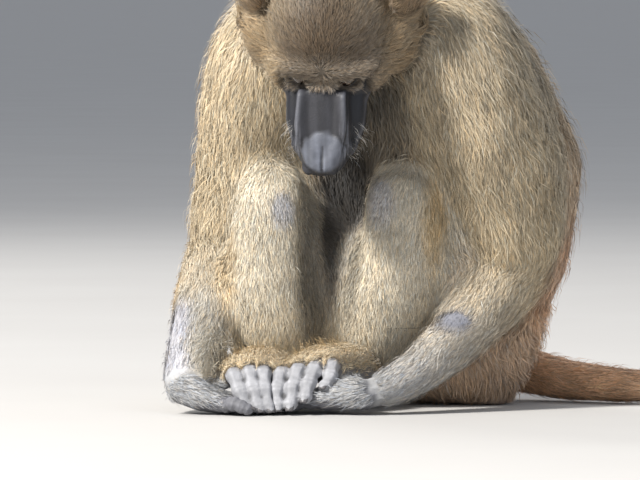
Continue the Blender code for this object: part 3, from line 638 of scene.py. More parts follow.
class Hide:
    """A skin with the fields that its coat grows by: lie, length, depth, cover and colour."""

    def __init__(self, obj: bpy.types.Object) -> None:
        """Reads the skin and finds the region of each point.

        Args:
            obj: The skin.
        """
        self.obj = obj
        mesh = obj.data
        count = len(mesh.vertices)
        self.points = read_rows(mesh.vertices, "co", 3, np.float32).astype(float)
        self.edges = read_rows(mesh.edges, "vertices", 2, np.int32)
        self.owner = SOLIDS.owner_of(self.points)
        self.lie = np.zeros((count, 3))
        self.length = np.zeros(count)
        self.depth = np.zeros(count)
        self.cover = np.zeros(count)
        self.fluff = np.ones(count)
        self.colour = np.zeros((count, 3))
        for number, name in enumerate(SOLIDS.names):
            chosen = np.flatnonzero(self.owner == number)
            if len(chosen):
                self.fill(chosen, REGION_OF_NODE[name])

    def write_points(self) -> None:
        """Puts the points back into the mesh."""
        self.obj.data.vertices.foreach_set("co", self.points.astype(np.float32).ravel())
        self.obj.data.update()

    def normals(self) -> np.ndarray:
        """The normal at each point."""
        self.obj.data.update()
        return read_rows(self.obj.data.vertex_normals, "vector", 3, np.float32).astype(float)

    def on(self, nodes: tuple[str, ...]) -> np.ndarray:
        """1 at the points that belong to some nodes and 0 elsewhere."""
        return np.isin(self.owner, SOLIDS.numbers(nodes)).astype(float)

    def fill(self, chosen: np.ndarray, region: Region) -> None:
        """Sets the fields of some points from their region.

        Args:
            chosen: The numbers of the points.
            region: The region that they are in.
        """
        places = self.points[chosen]
        line = np.array([metres(place) for place in region.line])
        best = np.full(len(places), np.inf)
        share = np.zeros(len(places))
        lie = np.zeros((len(places), 3))
        for k, (a, b) in enumerate(zip(line[:-1], line[1:])):
            span = b - a
            t = np.clip((places - a) @ span / (span @ span), 0, 1)
            away = np.linalg.norm(places - (a + t[:, None] * span), axis=1)
            nearer = away < best
            best[nearer] = away[nearer]
            share[nearer] = (k + t[nearer]) / (len(line) - 1)
            lie[nearer] = span / np.linalg.norm(span)
        if region.lie is Lie.AWAY:
            lie = unit(places - line[0]) + unit((line[-1] - line[0])[None]) * AWAY_LEAN
        lie[:, 2] -= region.droop
        mix = share[:, None]

        def graded(pair: tuple[float, float]) -> np.ndarray:
            """A value that runs from one end of the region to the other."""
            return pair[0] + (pair[1] - pair[0]) * share

        self.lie[chosen] = unit(lie)
        self.length[chosen] = graded(region.length)
        self.depth[chosen] = graded(region.depth)
        self.cover[chosen] = graded(region.cover)
        self.colour[chosen] = np.array(region.start) * (1 - mix) + np.array(region.end) * mix

    def spread(self, values: np.ndarray, rounds: int) -> np.ndarray:
        """Evens values out over the surface.

        Args:
            values: A value or a row of values for each point.
            rounds: How many times they are evened out with the points beside them.

        Returns:
            The new values.
        """
        a, b = self.edges[:, 0], self.edges[:, 1]
        count = len(self.points)
        around = np.bincount(a, minlength=count) + np.bincount(b, minlength=count)
        columns = values.reshape(count, -1).astype(float)
        for _ in range(rounds):
            for k in range(columns.shape[1]):
                total = np.bincount(a, columns[b, k], count) + np.bincount(b, columns[a, k], count)
                columns[:, k] = (columns[:, k] + total / np.maximum(around, 1)) / 2
        return columns.reshape(values.shape)

    def ease(self, share: np.ndarray, rounds: int) -> None:
        """Smooths a share of the skin until the locks in it are gone.

        Args:
            share: How much each point takes part.
            rounds: How many times the skin is smoothed.
        """
        share = self.spread(share, EASE_EDGE)[:, None]
        for _ in range(rounds):
            self.points += (self.spread(self.points, 1) - self.points) * share
        self.write_points()

    def bury(self, share: np.ndarray, by: float) -> None:
        """Lowers a share of the skin further, where another skin lies over it."""
        self.depth += share * by

    def blend_fields(self, rounds: int) -> None:
        """Lets the fields of neighbouring regions run into one another.

        Args:
            rounds: How many times they are evened out, and colour half and cover a quarter as often.
        """
        half, quarter = rounds // 2, rounds // 4
        self.blend(lie=rounds, length=rounds, depth=rounds, cover=quarter, colour=half)

    def blend(self, **rounds: int) -> None:
        """Evens fields out over the surface, each over its own number of rounds.

        Args:
            rounds: The number of rounds for each field.
        """
        for field, count in rounds.items():
            setattr(self, field, self.spread(getattr(self, field), count))

    def share_of(self, patch: Patch) -> np.ndarray:
        """How much each point belongs to a patch.

        Args:
            patch: The patch.

        Returns:
            A share from 0 to 1 for each point.
        """
        away = (drawn(self.points) - np.array(patch.centre)) / np.array(patch.reach)
        share = 1 - soft(np.linalg.norm(away, axis=1), *PATCH_EDGE)
        return share * self.spread(self.on(patch.nodes), PATCH_BLEND) if patch.nodes else share

    def sink(self) -> None:
        """Lowers the skin to the roots of the coat."""
        for patch in PATCHES:
            share = self.share_of(patch)
            self.depth += share * patch.sunk
            self.length += share * patch.longer
            self.fluff += share * patch.fluff
        self.points -= self.normals() * (self.depth * MM)[:, None]
        self.points = self.spread(self.points, 2)
        self.points[:, 2] = np.maximum(self.points[:, 2], 0)
        self.write_points()

    def raise_by(self, heights: np.ndarray) -> None:
        """Moves each point out along its normal.

        Args:
            heights: How far each point moves, in millimetres.
        """
        self.points += self.normals() * (heights * MM)[:, None]
        self.points[:, 2] = np.maximum(self.points[:, 2], 0)
        self.write_points()

    def wear(self, wear: CreviceShading, share: float | np.ndarray = 1.0) -> None:
        """Paints shade into the skin's crevices and highlights onto its rises.

        Args:
            wear: How much, and over which depths.
            share: How much each point takes part.
        """
        around = self.spread(self.points, CREVICE_SHADING_REACH)
        depth = ((around - self.points) * self.normals()).sum(1) / MM
        dark = wear.dark * share * soft(depth, *wear.crevice)
        self.colour *= (1 - dark + wear.light * share * soft(-depth, *wear.rise))[:, None]

    def tint(self, share: np.ndarray, colour: Colour) -> None:
        """Mixes a colour in by each point's share."""
        self.colour += (np.array(colour) - self.colour) * share[:, None]

    def mark(self) -> None:
        """Adds the patches and the slow changes of colour that skin and coat share."""
        for patch in PATCHES:
            share = self.share_of(patch)
            self.tint(share * patch.strength, patch.colour)
            self.cover *= 1 - share * patch.bare
        drift = np.ones(len(self.points))
        for strength, width, seed in DRIFTS:
            drift += strength * ripple(self.points, width, seed)
        self.colour *= drift[:, None]

    def dress(self, finish: bpy.types.Material, shade: float) -> None:
        """Unwraps the skin and gives it its markings and finish.

        Args:
            finish: The material.
            shade: The painted shade of the skin under a full coat: how light it is against the coat's own
                colour.
        """
        with editing(self.obj):
            bpy.ops.uv.smart_project(angle_limit=UNWRAP_ANGLE, island_margin=UNWRAP_MARGIN)
        mesh = self.obj.data
        mesh.uv_layers.active.name = BAKE_UV
        # Under the coat the skin is darkened by painted shade, as if shaded by the hair above it.
        covered = np.clip(self.cover, 0, 1)[:, None]
        store(mesh, self.colour * (shade * covered + (1 - covered)))
        mesh.materials.clear()
        mesh.materials.append(finish)


def store(mesh: bpy.types.Mesh, colours: np.ndarray) -> None:
    """Keeps the markings of a mesh on it.

    Args:
        mesh: The mesh.
        colours: A colour for every point.
    """
    layer = mesh.color_attributes.new(MARKINGS, "FLOAT_COLOR", "POINT")
    full = np.ones((len(colours), 4), np.float32)
    full[:, :3] = np.clip(colours, 0, 1)
    layer.data.foreach_set("color", full.ravel())


@dataclass
class Roots:
    """Where tufts grow, how they lie and how long they are."""

    place: np.ndarray
    normal: np.ndarray
    lie: np.ndarray
    length: np.ndarray
    fluff: np.ndarray
    colour: np.ndarray
    uv: np.ndarray


class Surface:
    """A skin in triangles, with its corners' places in the unwrap."""

    def __init__(self, hide: Hide) -> None:
        """Reads the triangles.

        Args:
            hide: The skin with its fields.
        """
        self.hide = hide
        mesh = hide.obj.data
        mesh.calc_loop_triangles()
        self.corners = read_rows(mesh.loop_triangles, "vertices", 3, np.int32)
        loops = read_rows(mesh.loop_triangles, "loops", 3, np.int32)
        self.uv = read_rows(mesh.uv_layers[BAKE_UV].data, "uv", 2, np.float32)[loops]
        self.normals = hide.normals()
        a, b, c = (hide.points[self.corners[:, k]] for k in range(3))
        self.area = np.linalg.norm(np.cross(b - a, c - a), axis=1) / 2
        self.owner = hide.owner[self.corners[:, 0]]
        self.tree = BVHTree.FromPolygons(hide.points.tolist(), self.corners.tolist())

    def laid(self, places: np.ndarray, height: np.ndarray) -> np.ndarray:
        """Brings places down to the skin and raises them again.

        Args:
            places: The places.
            height: How far each is raised.

        Returns:
            The new places.
        """
        found = [self.tree.find_nearest(place)[:2] for place in places.tolist()]
        ground = np.array([spot for spot, _ in found])
        normal = np.array([up for _, up in found])
        return ground + normal * height[:, None]

    def roots(self, nodes: tuple[str, ...], count: int, rng: np.random.Generator) -> Roots:
        """Spreads roots over some nodes' skin, as densely as the coat's cover asks.

        Args:
            nodes: The nodes.
            count: The number of roots.
            rng: Where the random draws come from.

        Returns:
            The roots.
        """
        chosen = np.isin(self.owner, SOLIDS.numbers(nodes))
        weight = self.area * chosen * np.maximum(self.hide.cover[self.corners].mean(1), 0)
        triangle = rng.choice(len(weight), count, p=weight / weight.sum())
        one, two = rng.random(count), rng.random(count)
        over = one + two > 1
        one[over], two[over] = 1 - one[over], 1 - two[over]
        weights = np.stack([1 - one - two, one, two], 1)
        corners = self.corners[triangle]

        def mixed(values: np.ndarray) -> np.ndarray:
            """A field's value at each root.

            Args:
                values: The field, with a value or a row for each point of the skin.

            Returns:
                A value or a row for each root.
            """
            picked = values[corners]
            if values.ndim == 1:
                return (picked * weights).sum(1)
            return (picked * weights[:, :, None]).sum(1)

        hide = self.hide
        normal = unit(mixed(self.normals))
        lie = mixed(hide.lie)
        lie = unit(lie - normal * (lie * normal).sum(1)[:, None])
        uv = (self.uv[triangle] * weights[:, :, None]).sum(1)
        places, length, fluff = mixed(hide.points), mixed(hide.length), mixed(hide.fluff)
        return Roots(places, normal, lie, length, fluff, mixed(hide.colour), uv)


@dataclass(frozen=True)
class Cut:
    """How the tufts of a coat are cut.

    Width is in millimetres, lift is the tips' height above the skin as a share of the length,
    clump is how far tips lean together and wander how far they stray sideways. Strays is the
    share that stands out. Tone is how light the root, bend and tip are. A stiff tuft stands
    straight and doesn't follow the skin.
    """

    width: float
    lift: float = 0.16
    clump: float = 0.12
    wander: float = 0.15
    strays: float = 0.06
    tone: tuple[float, float, float] = (0.56, 1.0, 1.12)
    grizzle: float = 0.5
    stiff: bool = False


@dataclass(frozen=True)
class Coat:
    """One piece of the coat: the nodes it covers, its number of tufts and their cut."""

    name: str
    nodes: tuple[str, ...]
    slot: str
    tufts: int
    cut: Cut
    seed: int

    def build(self, surface: Surface, finish: bpy.types.Material) -> bpy.types.Object:
        """Grows the tufts as one mesh of thin bent leaves.

        Each leaf has its root, two points at its bend and its tip. Its tip leans to that of
        the nearest leading tuft, and its colour runs from a dark root to a light tip.

        Args:
            surface: The skin that they grow from.
            finish: The material.

        Returns:
            The piece.
        """
        rng = np.random.default_rng(self.seed)
        roots = surface.roots(self.nodes, self.tufts, rng)
        count = self.tufts
        stray = rng.random(count) < self.cut.strays
        broad, narrow = STRAY_WAVES
        waves = ripple(roots.place, broad, self.seed)
        waves += SECOND_WAVE * ripple(roots.place, narrow, self.seed + WAVE_SEEDS)
        sideways = self.cut.wander * roots.fluff * (waves + rng.normal(size=count) * (1 + stray))
        across = np.cross(roots.normal, roots.lie)
        along = unit(roots.lie + across * sideways[:, None])
        length = roots.length * MM * rng.uniform(*LENGTHS, count)
        lift = self.cut.lift * roots.fluff * rng.uniform(*LIFTS, count) * (1 + STRAY_LIFT * stray)
        tip = roots.place + along * length[:, None]
        if self.cut.stiff:
            tip += roots.normal * (length * lift)[:, None]
        else:
            tip = self.clumped(surface.laid(tip, length * lift), roots, rng)
        flattest, steeper = BEND_RISE
        rise = length * (flattest + lift * steeper)
        bend = roots.place + (tip - roots.place) * BEND_PLACE + roots.normal * rise[:, None]
        twist = rng.normal(0, TWIST, count)[:, None]
        flat = unit(np.cross(roots.normal, tip - roots.place))
        side = unit(flat * np.cos(twist) + roots.normal * np.sin(twist))
        half = side * (self.cut.width * MM / 2 * rng.uniform(*WIDTHS, count))[:, None]
        points = np.stack([roots.place, bend - half, bend + half, tip], 1)
        points[:, :, 2] = np.maximum(points[:, :, 2], FLOOR_CLEARANCE)
        return self.meshed(points, roots, rng, finish)

    def clumped(self, tip: np.ndarray, roots: Roots, rng: np.random.Generator) -> np.ndarray:
        """Draws each tip towards the tip of the nearest leading tuft.

        Args:
            tip: The tips.
            roots: The tufts' roots.
            rng: Where the random draws come from.

        Returns:
            The new tips.
        """
        leaders = rng.choice(len(tip), max(FEWEST_LEADERS, len(tip) // LEADER_SHARE), replace=False)
        tree = KDTree(len(leaders))
        for k, place in enumerate(roots.place[leaders].tolist()):
            tree.insert(place, k)
        tree.balance()
        nearest = leaders[[tree.find(place)[1] for place in roots.place.tolist()]]
        pull = self.cut.clump * rng.uniform(*PULLS, len(tip))[:, None]
        return tip + (tip[nearest] - tip) * pull

    def meshed(
        self, points: np.ndarray, roots: Roots, rng: np.random.Generator, finish: bpy.types.Material
    ) -> bpy.types.Object:
        """Joins the leaves' points into one mesh with its colours and its place in the unwrap.

        Args:
            points: Root, both sides of the bend and tip of every leaf.
            roots: The tufts' roots.
            rng: Where the random draws come from.
            finish: The material.

        Returns:
            The piece.
        """
        count = len(points)
        pattern = np.array([0, 1, 2, 1, 3, 2])
        loops = (np.arange(count)[:, None] * 4 + pattern).ravel().astype(np.int32)
        mesh = bpy.data.meshes.new(self.name)
        mesh.vertices.add(count * 4)
        mesh.vertices.foreach_set("co", points.astype(np.float32).ravel())
        mesh.loops.add(len(loops))
        mesh.loops.foreach_set("vertex_index", loops)
        mesh.polygons.add(count * 2)
        mesh.polygons.foreach_set("loop_start", np.arange(0, len(loops), 3, dtype=np.int32))
        mesh.update(calc_edges=True)
        root, bend, tip = self.cut.tone
        tone = np.array([root, bend, bend, tip])[None, :, None]
        kinds = rng.choice(KINDS, count, p=KIND_SHARES)
        grizzle = 1 + (kinds * (1 + KIND_SPREAD * rng.normal(size=count)) - 1) * self.cut.grizzle
        warm = 1 + WARMTH * rng.normal(size=count)[:, None, None] * np.array(WARM)
        colour = roots.colour[:, None, :] * tone * grizzle.clip(*GRIZZLE_LIMITS)[:, None, None] * warm
        store(mesh, colour.reshape(-1, 3))
        spread = np.array([(0, -0.5), (-0.5, 0), (0.5, 0), (0, 0.5)]) * TUFT_PATCH
        uv = (roots.uv[:, None, :] + spread[None]).reshape(-1, 2)
        layer = mesh.uv_layers.new(name=BAKE_UV)
        layer.data.foreach_set("uv", uv[loops].astype(np.float32).ravel())
        mesh.materials.append(finish)
        mesh.shade_smooth()
        face = np.cross(points[:, 1] - points[:, 0], points[:, 2] - points[:, 0])
        shading = unit(roots.normal * SKIN_SHADING + unit(face) * (1 - SKIN_SHADING))
        mesh.normals_split_custom_set_from_vertices(np.repeat(shading, 4, axis=0))
        return linked(self.name, mesh)


class Finish:
    """A node material that starts from the markings kept on the mesh."""

    def __init__(self, name: str, roughness: float, specular: float = 0.5) -> None:
        """Makes the material and its first nodes.

        Args:
            name: The material's name.
            roughness: How rough it is.
            specular: How strongly it mirrors.
        """
        self.material = bpy.data.materials.new(name)
        self.material.use_nodes = True
        self.tree = self.material.node_tree
        self.shader = self.tree.nodes["Principled BSDF"]
        self.shader.inputs["Roughness"].default_value = roughness
        self.shader.inputs["Specular IOR Level"].default_value = specular
        self.place = self.tree.nodes.new("ShaderNodeTexCoord").outputs["Object"]

    def node(self, kind: str, **settings: object) -> bpy.types.Node:
        """Adds a node and sets its inputs, and its own options where the name matches.

        Args:
            kind: The kind of node.
            settings: Its inputs and options by name.

        Returns:
            The node.
        """
        node = self.tree.nodes.new(kind)
        for key, value in settings.items():
            if key in node.inputs:
                node.inputs[key].default_value = value
            else:
                setattr(node, key, value)
        return node

    def join(self, source: bpy.types.NodeSocket, target: bpy.types.NodeSocket) -> None:
        """Links two sockets."""
        self.tree.links.new(source, target)

    def noise(self, scale: float, detail: float = 3.0) -> bpy.types.NodeSocket:
        """Noise over the object's own coordinates, with a scale in waves a metre.

        Args:
            scale: How many waves there are in a metre.
            detail: How much finer noise lies over it.

        Returns:
            Its value.
        """
        node = self.node("ShaderNodeTexNoise", Scale=scale, Detail=detail)
        self.join(self.place, node.inputs["Vector"])
        return node.outputs["Fac"]

    def cells(self, scale: float) -> bpy.types.NodeSocket:
        """Distance to the nearest of many cells, which reads as pores or creases.

        Args:
            scale: How many cells there are in a metre.

        Returns:
            The distance.
        """
        node = self.node("ShaderNodeTexVoronoi", Scale=scale, feature="DISTANCE_TO_EDGE")
        self.join(self.place, node.inputs["Vector"])
        return node.outputs["Distance"]

    def mapped(self, source: bpy.types.NodeSocket, low: float, high: float) -> bpy.types.NodeSocket:
        """A value taken from 0 to 1 onto another range.

        Args:
            source: The value.
            low: The range's start.
            high: Its end.

        Returns:
            The new value.
        """
        node = self.node("ShaderNodeMapRange")
        node.inputs["To Min"].default_value = low
        node.inputs["To Max"].default_value = high
        self.join(source, node.inputs["Value"])
        return node.outputs["Result"]

    def mottle(self, scale: float, low: float, high: float, detail: float = 3.0) -> None:
        """Takes the markings as the colour, made lighter and darker by noise.

        Args:
            scale: How many waves of noise there are in a metre.
            low: How light it is where the noise is lowest.
            high: How light it is where the noise is highest.
            detail: How much finer noise lies over it.
        """
        markings = self.node("ShaderNodeAttribute", attribute_name=MARKINGS)
        colour = self.node("ShaderNodeVectorMath", operation="SCALE")
        self.join(markings.outputs["Color"], colour.inputs[0])
        self.join(self.mapped(self.noise(scale, detail), low, high), colour.inputs["Scale"])
        self.join(colour.outputs[0], self.shader.inputs["Base Color"])

    def bump(self, *layers: tuple[bpy.types.NodeSocket, float]) -> None:
        """Raises the surface by several patterns, each with its height in millimetres.

        Args:
            layers: The patterns, from the coarsest to the finest.
        """
        normal = None
        for source, height in layers:
            node = self.node("ShaderNodeBump", Distance=height * MM, Strength=1.0)
            self.join(source, node.inputs["Height"])
            if normal:
                self.join(normal, node.inputs["Normal"])
            normal = node.outputs["Normal"]
        self.join(normal, self.shader.inputs["Normal"])


def coat_finish(name: str) -> bpy.types.Material:
    """Hair: the tuft's own colour, broken up a little along the body.

    Args:
        name: The material's name.

    Returns:
        The material.
    """
    finish = Finish(name, roughness=0.55, specular=0.35)
    finish.mottle(scale=260.0, low=0.82, high=1.18)
    finish.shader.inputs["Sheen Weight"].default_value = 0.12
    return finish.material


def under_coat_finish() -> bpy.types.Material:
    """The skin under the coat, matted with short hair.

    Returns:
        The material.
    """
    finish = Finish("under_coat", roughness=0.75, specular=0.3)
    finish.mottle(scale=400.0, low=0.6, high=1.4)
    finish.bump((finish.noise(700.0), 0.6), (finish.cells(300.0), 0.4))
    return finish.material


def bare_finish(name: str, roughness: tuple[float, float], crease: float) -> bpy.types.Material:
    """Bare slate-grey skin with pores and fine creases.

    Args:
        name: The material's name.
        roughness: The least and the greatest roughness.
        crease: The depth of the creases in millimetres.

    Returns:
        The material.
    """
    finish = Finish(name, roughness=0.5, specular=0.4)
    finish.mottle(scale=170.0, low=0.7, high=1.3, detail=5.0)
    rough = finish.mapped(finish.noise(300.0), *roughness)
    finish.join(rough, finish.shader.inputs["Roughness"])
    pores = (finish.cells(900.0), crease * 0.4)
    finish.bump((finish.cells(430.0), crease), pores, (finish.noise(1300.0), 0.15))
    return finish.material


ARMS = ("upper_arm_left", "upper_arm_right")
TAIL = ("tail_root", "tail_middle", "tail_end", "tail_tip")
BODY_NODES = (
    "neck", "torso", *ARMS, "forearm_left", "forearm_right", "thigh_left", "thigh_right",
    "shank_left", "shank_right", *TAIL, "seat_pad_left", "seat_pad_right",
)
HEAD_NODES = ("head", "muzzle", "ear_left", "ear_right")

BODY_CUT = Cut(width=0.80)
ARM_CUT = Cut(width=0.62)
LIMB_CUT = Cut(width=0.55, lift=0.13, clump=0.10)
TAIL_CUT = Cut(width=0.70, lift=0.14, wander=0.12)
BODY_COATS = (
    Coat("coat_back", ("torso",), "coat", 88000, BODY_CUT, 11),
    Coat("coat_neck", ("neck",), "coat", 36000, BODY_CUT, 12),
    Coat("coat_upper_arm_left", ("upper_arm_left",), "coat", 80000, ARM_CUT, 13),
    Coat("coat_upper_arm_right", ("upper_arm_right",), "coat", 80000, ARM_CUT, 14),
    Coat("coat_forearm_left", ("forearm_left",), "coat", 50000, LIMB_CUT, 15),
    Coat("coat_forearm_right", ("forearm_right",), "coat", 50000, LIMB_CUT, 16),
    Coat("coat_thigh_left", ("thigh_left",), "rust_coat", 34000, BODY_CUT, 17),
    Coat("coat_thigh_right", ("thigh_right",), "rust_coat", 34000, BODY_CUT, 18),
    Coat("coat_shank_left", ("shank_left",), "coat", 52000, LIMB_CUT, 19),
    Coat("coat_shank_right", ("shank_right",), "coat", 52000, LIMB_CUT, 20),
    Coat("coat_tail", TAIL, "rust_coat", 40000, TAIL_CUT, 21),
)
HEAD_COATS = (
    Coat("coat_head", ("head",), "coat", 88000, Cut(width=0.50, lift=0.24, clump=0.12), 22),
    Coat("coat_ears", ("ear_left", "ear_right"), "coat", 5000, Cut(width=0.4, lift=0.3), 23),
)
WHISKERS = Coat(
    "whiskers", ("muzzle",), "coat", 150,
    Cut(width=0.22, lift=0.5, wander=0.16, tone=(0.8, 1.0, 1.1), grizzle=0.3, stiff=True), 24,
)
PAW_CUT = Cut(width=0.42, lift=0.26, clump=0.08, wander=0.13)


def reported(piece: bpy.types.Object, slot: str, *nodes: str) -> bpy.types.Object:
    """Ties a piece to the body, hides the nodes that it stands for, and reports it.

    Args:
        piece: The piece.
        slot: Its slot; not used.
        nodes: The nodes that it stands for.

    Returns:
        The same piece.
    """
    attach(piece, ROOT)
    if nodes:
        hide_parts(*nodes)
    LOG.info("%s: %d faces", piece.name, len(piece.data.polygons))
    return piece


@dataclass
class Trunk:
    """The skin of trunk, limbs and tail, and the coat that covers it."""

    voxel: float = 3.6
    smoothing: int = 12
    lock_easing: int = 78
    blending: int = 22
    under_head: float = 7.0
    under_shade: float = 0.55

    def build(self) -> None:
        """Melts the skin, sinks it under its coat and grows the tufts."""
        skin = melted("skin_body", (*BODY_NODES, "head"), self.voxel, self.smoothing, Nape())
        rough = Hide(skin)
        rough.ease(rough.on(("torso", "neck", "head", *ARMS)), self.lock_easing)
        hide = Hide(evened(skin, self.voxel, self.smoothing // 2))
        hide.bury(hide.on(HEAD_NODES), self.under_head)
        hide.blend_fields(self.blending)
        hide.sink()
        hide.mark()
        hide.dress(under_coat_finish(), self.under_shade)
        reported(skin, "skin", *BODY_NODES)
        surface = Surface(hide)
        hair = coat_finish("coat")
        rust = coat_finish("rust_coat")
        for coat in BODY_COATS:
            piece = coat.build(surface, rust if coat.slot == "rust_coat" else hair)
            reported(piece, coat.slot)


@dataclass
class Head:
    """The head: its skin with the bare face, its coat and whiskers.

    The face is shaped in head coordinates: sideways, towards the nose and towards the crown.
    """

    voxel: float = 1.53
    smoothing: int = 7
    blending: int = 24
    under_neck: float = 3.0
    under_shade: float = 0.45
    lock_easing: int = 125
    # The muzzle's top in painted light, and its flanks, hollows and the skin round the eyes in painted
    # shade.
    dorsal: Colour = (0.024, 0.0245, 0.030)
    flank: Colour = (0.009, 0.010, 0.0145)
    # A painted highlight on the ridges, the edge of the upper lip and the chin.
    ridge: Colour = (0.085, 0.088, 0.102)
    pad: Colour = (0.10, 0.108, 0.132)
    whisker: Colour = (0.62, 0.60, 0.56)
    whisker_length: float = 12.0
    whisker_lean: float = 0.7
    # Heights and depths of the face's forms, and where its nose pad is, in millimetres.
    ridge_height: float = 1.3
    hollow_depth: float = 4.6
    channel_depth: float = 0.5
    rim_depth: float = 1.2
    lobe_height: float = 2.3
    groove_depth: float = 1.8
    fold_height: float = 0.4
    brow_depth: float = 2.0
    pad_centre: tuple[float, float] = (2.5, 66)
    pad_reach: float = 20.0
    bare_lids: tuple[float, float] = (10.5, 13)
    streaking: float = 0.22
    # Painted shade in the face's crevices and painted highlights on its rises.
    face_wear: CreviceShading = CreviceShading(0.6, 0.5, (0.03, 0.2), (0.05, 0.3))

    def matrix(self) -> Matrix:
        """Takes head points to their place in the frame.

        Returns:
            The change of coordinates, in metres.
        """
        base = Matrix(((1, 0, 0), (0, -1, 0), (0, 0, 1))).to_4x4()
        turn = Euler((HEAD_PITCH, 0, 0)).to_matrix().to_4x4()
        lean = Euler((0, HEAD_ROLL, HEAD_YAW)).to_matrix().to_4x4()
        return Matrix.Translation(metres(NASION)) @ lean @ turn @ base

    def local(self, points: np.ndarray) -> np.ndarray:
        """Points of the frame in head coordinates, in millimetres."""
        back = np.array(self.matrix().inverted())
        return (points @ back[:3, :3].T + back[:3, 3]) / MM

    def shape_face(self, hide: Hide) -> None:
        """Raises the muzzle's ridges and nose pad, hollows its sides, colours it and paints light and
        shade on it.

        Args:
            hide: The head's skin.
        """
        # Numbers beside x, f, d and side are places and widths in millimetres, and those beside
        # facing say how far the skin faces the crown's side, from -1 to 1.
        x, f, d = self.local(hide.points).T
        turn = np.array(self.matrix().inverted())[:3, :3]
        facing = (hide.normals() @ turn.T)[:, 2]
        side = np.abs(x)
        top = soft(facing, 0.1, 0.6)
        # Two ridges run down the muzzle, spread a little and close in beside the nose pad.
        flare = 21.5 + 2 * soft(f, 10, 45) - 4 * soft(f, 56, 76)
        along = between(f, 0, 64, 12)
        ridge = bell(side, flare, 3.4) * along * top
        # The sides are hollow under them, and a shallow channel runs along their inner foot.
        hollow = bell(side, flare + 8, 5.5) * between(f, -6, 50, 10) * soft(facing, -0.3, 0.3)
        channel = bell(side, 12, 5) * between(f, 6, 44, 10) * top
        # The nose pad has a wavy outline, a sunken rim, two swollen wings, a bridge and a groove.
        middle, front = self.pad_centre
        pad_x = x - middle
        pad_place = np.hypot(pad_x / self.pad_reach, (f - front) / self.pad_reach)
        pad_place += 0.07 * ripple(hide.points, 11, 8) * (1 - soft(f, 56, 70))
        pad = (1 - soft(pad_place, 0.80, 1.08)) * soft(facing, -0.6, 0.0)
        rim = bell(pad_place, 1.08, 0.10) * soft(f, 46, 58) * soft(facing, -0.2, 0.3)
        lobes = bell(np.abs(pad_x), 9.5, 6.5) * bell(f, 71, 12)
        lobes += 0.55 * bell(pad_x, 0, 8) * bell(f, 53, 7)
        groove = bell(pad_x, 0, 1.5) * soft(f, 58, 66) * pad
        # Fine folds run back from the pad along the upper lip.
        folds = np.sin(side * 2.1) * between(side, 20, 33, 3) * between(f, 42, 72, 8)
        heights = self.ridge_height * ridge - self.hollow_depth * hollow
        heights -= self.channel_depth * channel + self.rim_depth * rim
        heights += self.lobe_height * lobes * pad - self.groove_depth * groove
        heights += self.fold_height * folds * soft(facing, -0.2, 0.3)
        muzzle = hide.spread(hide.on(("muzzle",)), 2)
        hide.raise_by(heights * muzzle)
        # Painted light and shade: a lit top, shaded flanks, and painted highlights on ridges, lip and
        # chin.
        lip = bell(facing, 0.1, 0.16) * soft(side, 24, 30) * between(d, -70, -12, 6)
        hide.tint(muzzle, self.flank)
        hide.tint(muzzle * top * (1 - soft(side, 17, 25)), self.dorsal)
        lit = np.clip(0.7 * ridge + 0.3 * np.abs(folds) * top + 0.9 * lip, 0, 1)
        hide.tint(muzzle * lit, self.ridge)
        hide.tint(muzzle * pad, self.pad)
        chin = muzzle * (1 - soft(d, -62, -48))
        hide.tint(chin * 0.6, self.ridge)
        # Painted shade deepens the hollows, except where the lip's highlight lies.
        hide.tint(muzzle * 0.7 * hollow * (1 - lip), self.flank)
        # Streaks run along the muzzle.
        streaks = ripple(np.stack([x, f * 0.12, d * 0.12], 1) * MM, 6, 9)
        hide.colour *= (1 + self.streaking * streaks * muzzle)[:, None]
        # Painted shade in the muzzle's crevices and painted highlights on its rises.
        hide.wear(self.face_wear, muzzle)

    def shape_coat(self, hide: Hide) -> None:
        """Darkens the crown, and ends the brow in a short fringe over the root of the muzzle.

        Beside the muzzle the brow's edge runs up, over the skin round the eyes, which is painted in shade.

        Args:
            hide: The head's skin.
        """
        x, f, d = self.local(hide.points).T
        head = hide.spread(hide.on(("head",)), 2)
        side = np.abs(x)
        # The brow's edge lies 5 mm before the root of the muzzle, and 10 mm behind it at the sides.
        edge = 5 - 15 * soft(side, 27, 38)
        below = soft(f - edge, -1, 3) * (1 - soft(side, 38, 45)) * head
        hide.raise_by(-self.brow_depth * below * soft(side, 28, 34))
        # The crown is dark behind the brow, and so are the cheeks below the eyes.
        crown = between(f, -96, -26, 14) * bell(x, 0, 52) * head
        hide.tint(crown * 0.9, CROWN)
        cheeks = soft(side, 30, 66) * (1 - soft(d, -20, 10)) * head
        hide.tint(cheeks * 0.85, CHEEK)
        # The skin below the brow's edge, round the eyes, is painted in shade and left bare.
        hide.tint(below, self.flank)
        hide.cover *= 1 - below
        # The hair is densest and longest just before the edge, and stands up between the brows.
        fringe = soft(f - edge, -9, -2) * (1 - below) * (1 - soft(side, 38, 45)) * head
        hide.cover *= 1 + 0.8 * fringe
        hide.length += 2.5 * fringe
        hide.fluff += 0.9 * fringe + 0.6 * bell(np.hypot(x, f + 14), 0, 16) * head

    def shape_lids(self, hide: Hide) -> None:
        """Leaves the skin round the eyes bare and paints it in shade.

        Args:
            hide: The head's skin.
        """
        for side in SIDES:
            away = np.linalg.norm(hide.points - np.array(eye_place(side)), axis=1) / MM
            near = 1 - soft(away, *self.bare_lids)
            # Painted shade round the eyes.
            hide.tint(near, self.flank)
            hide.cover *= 1 - near

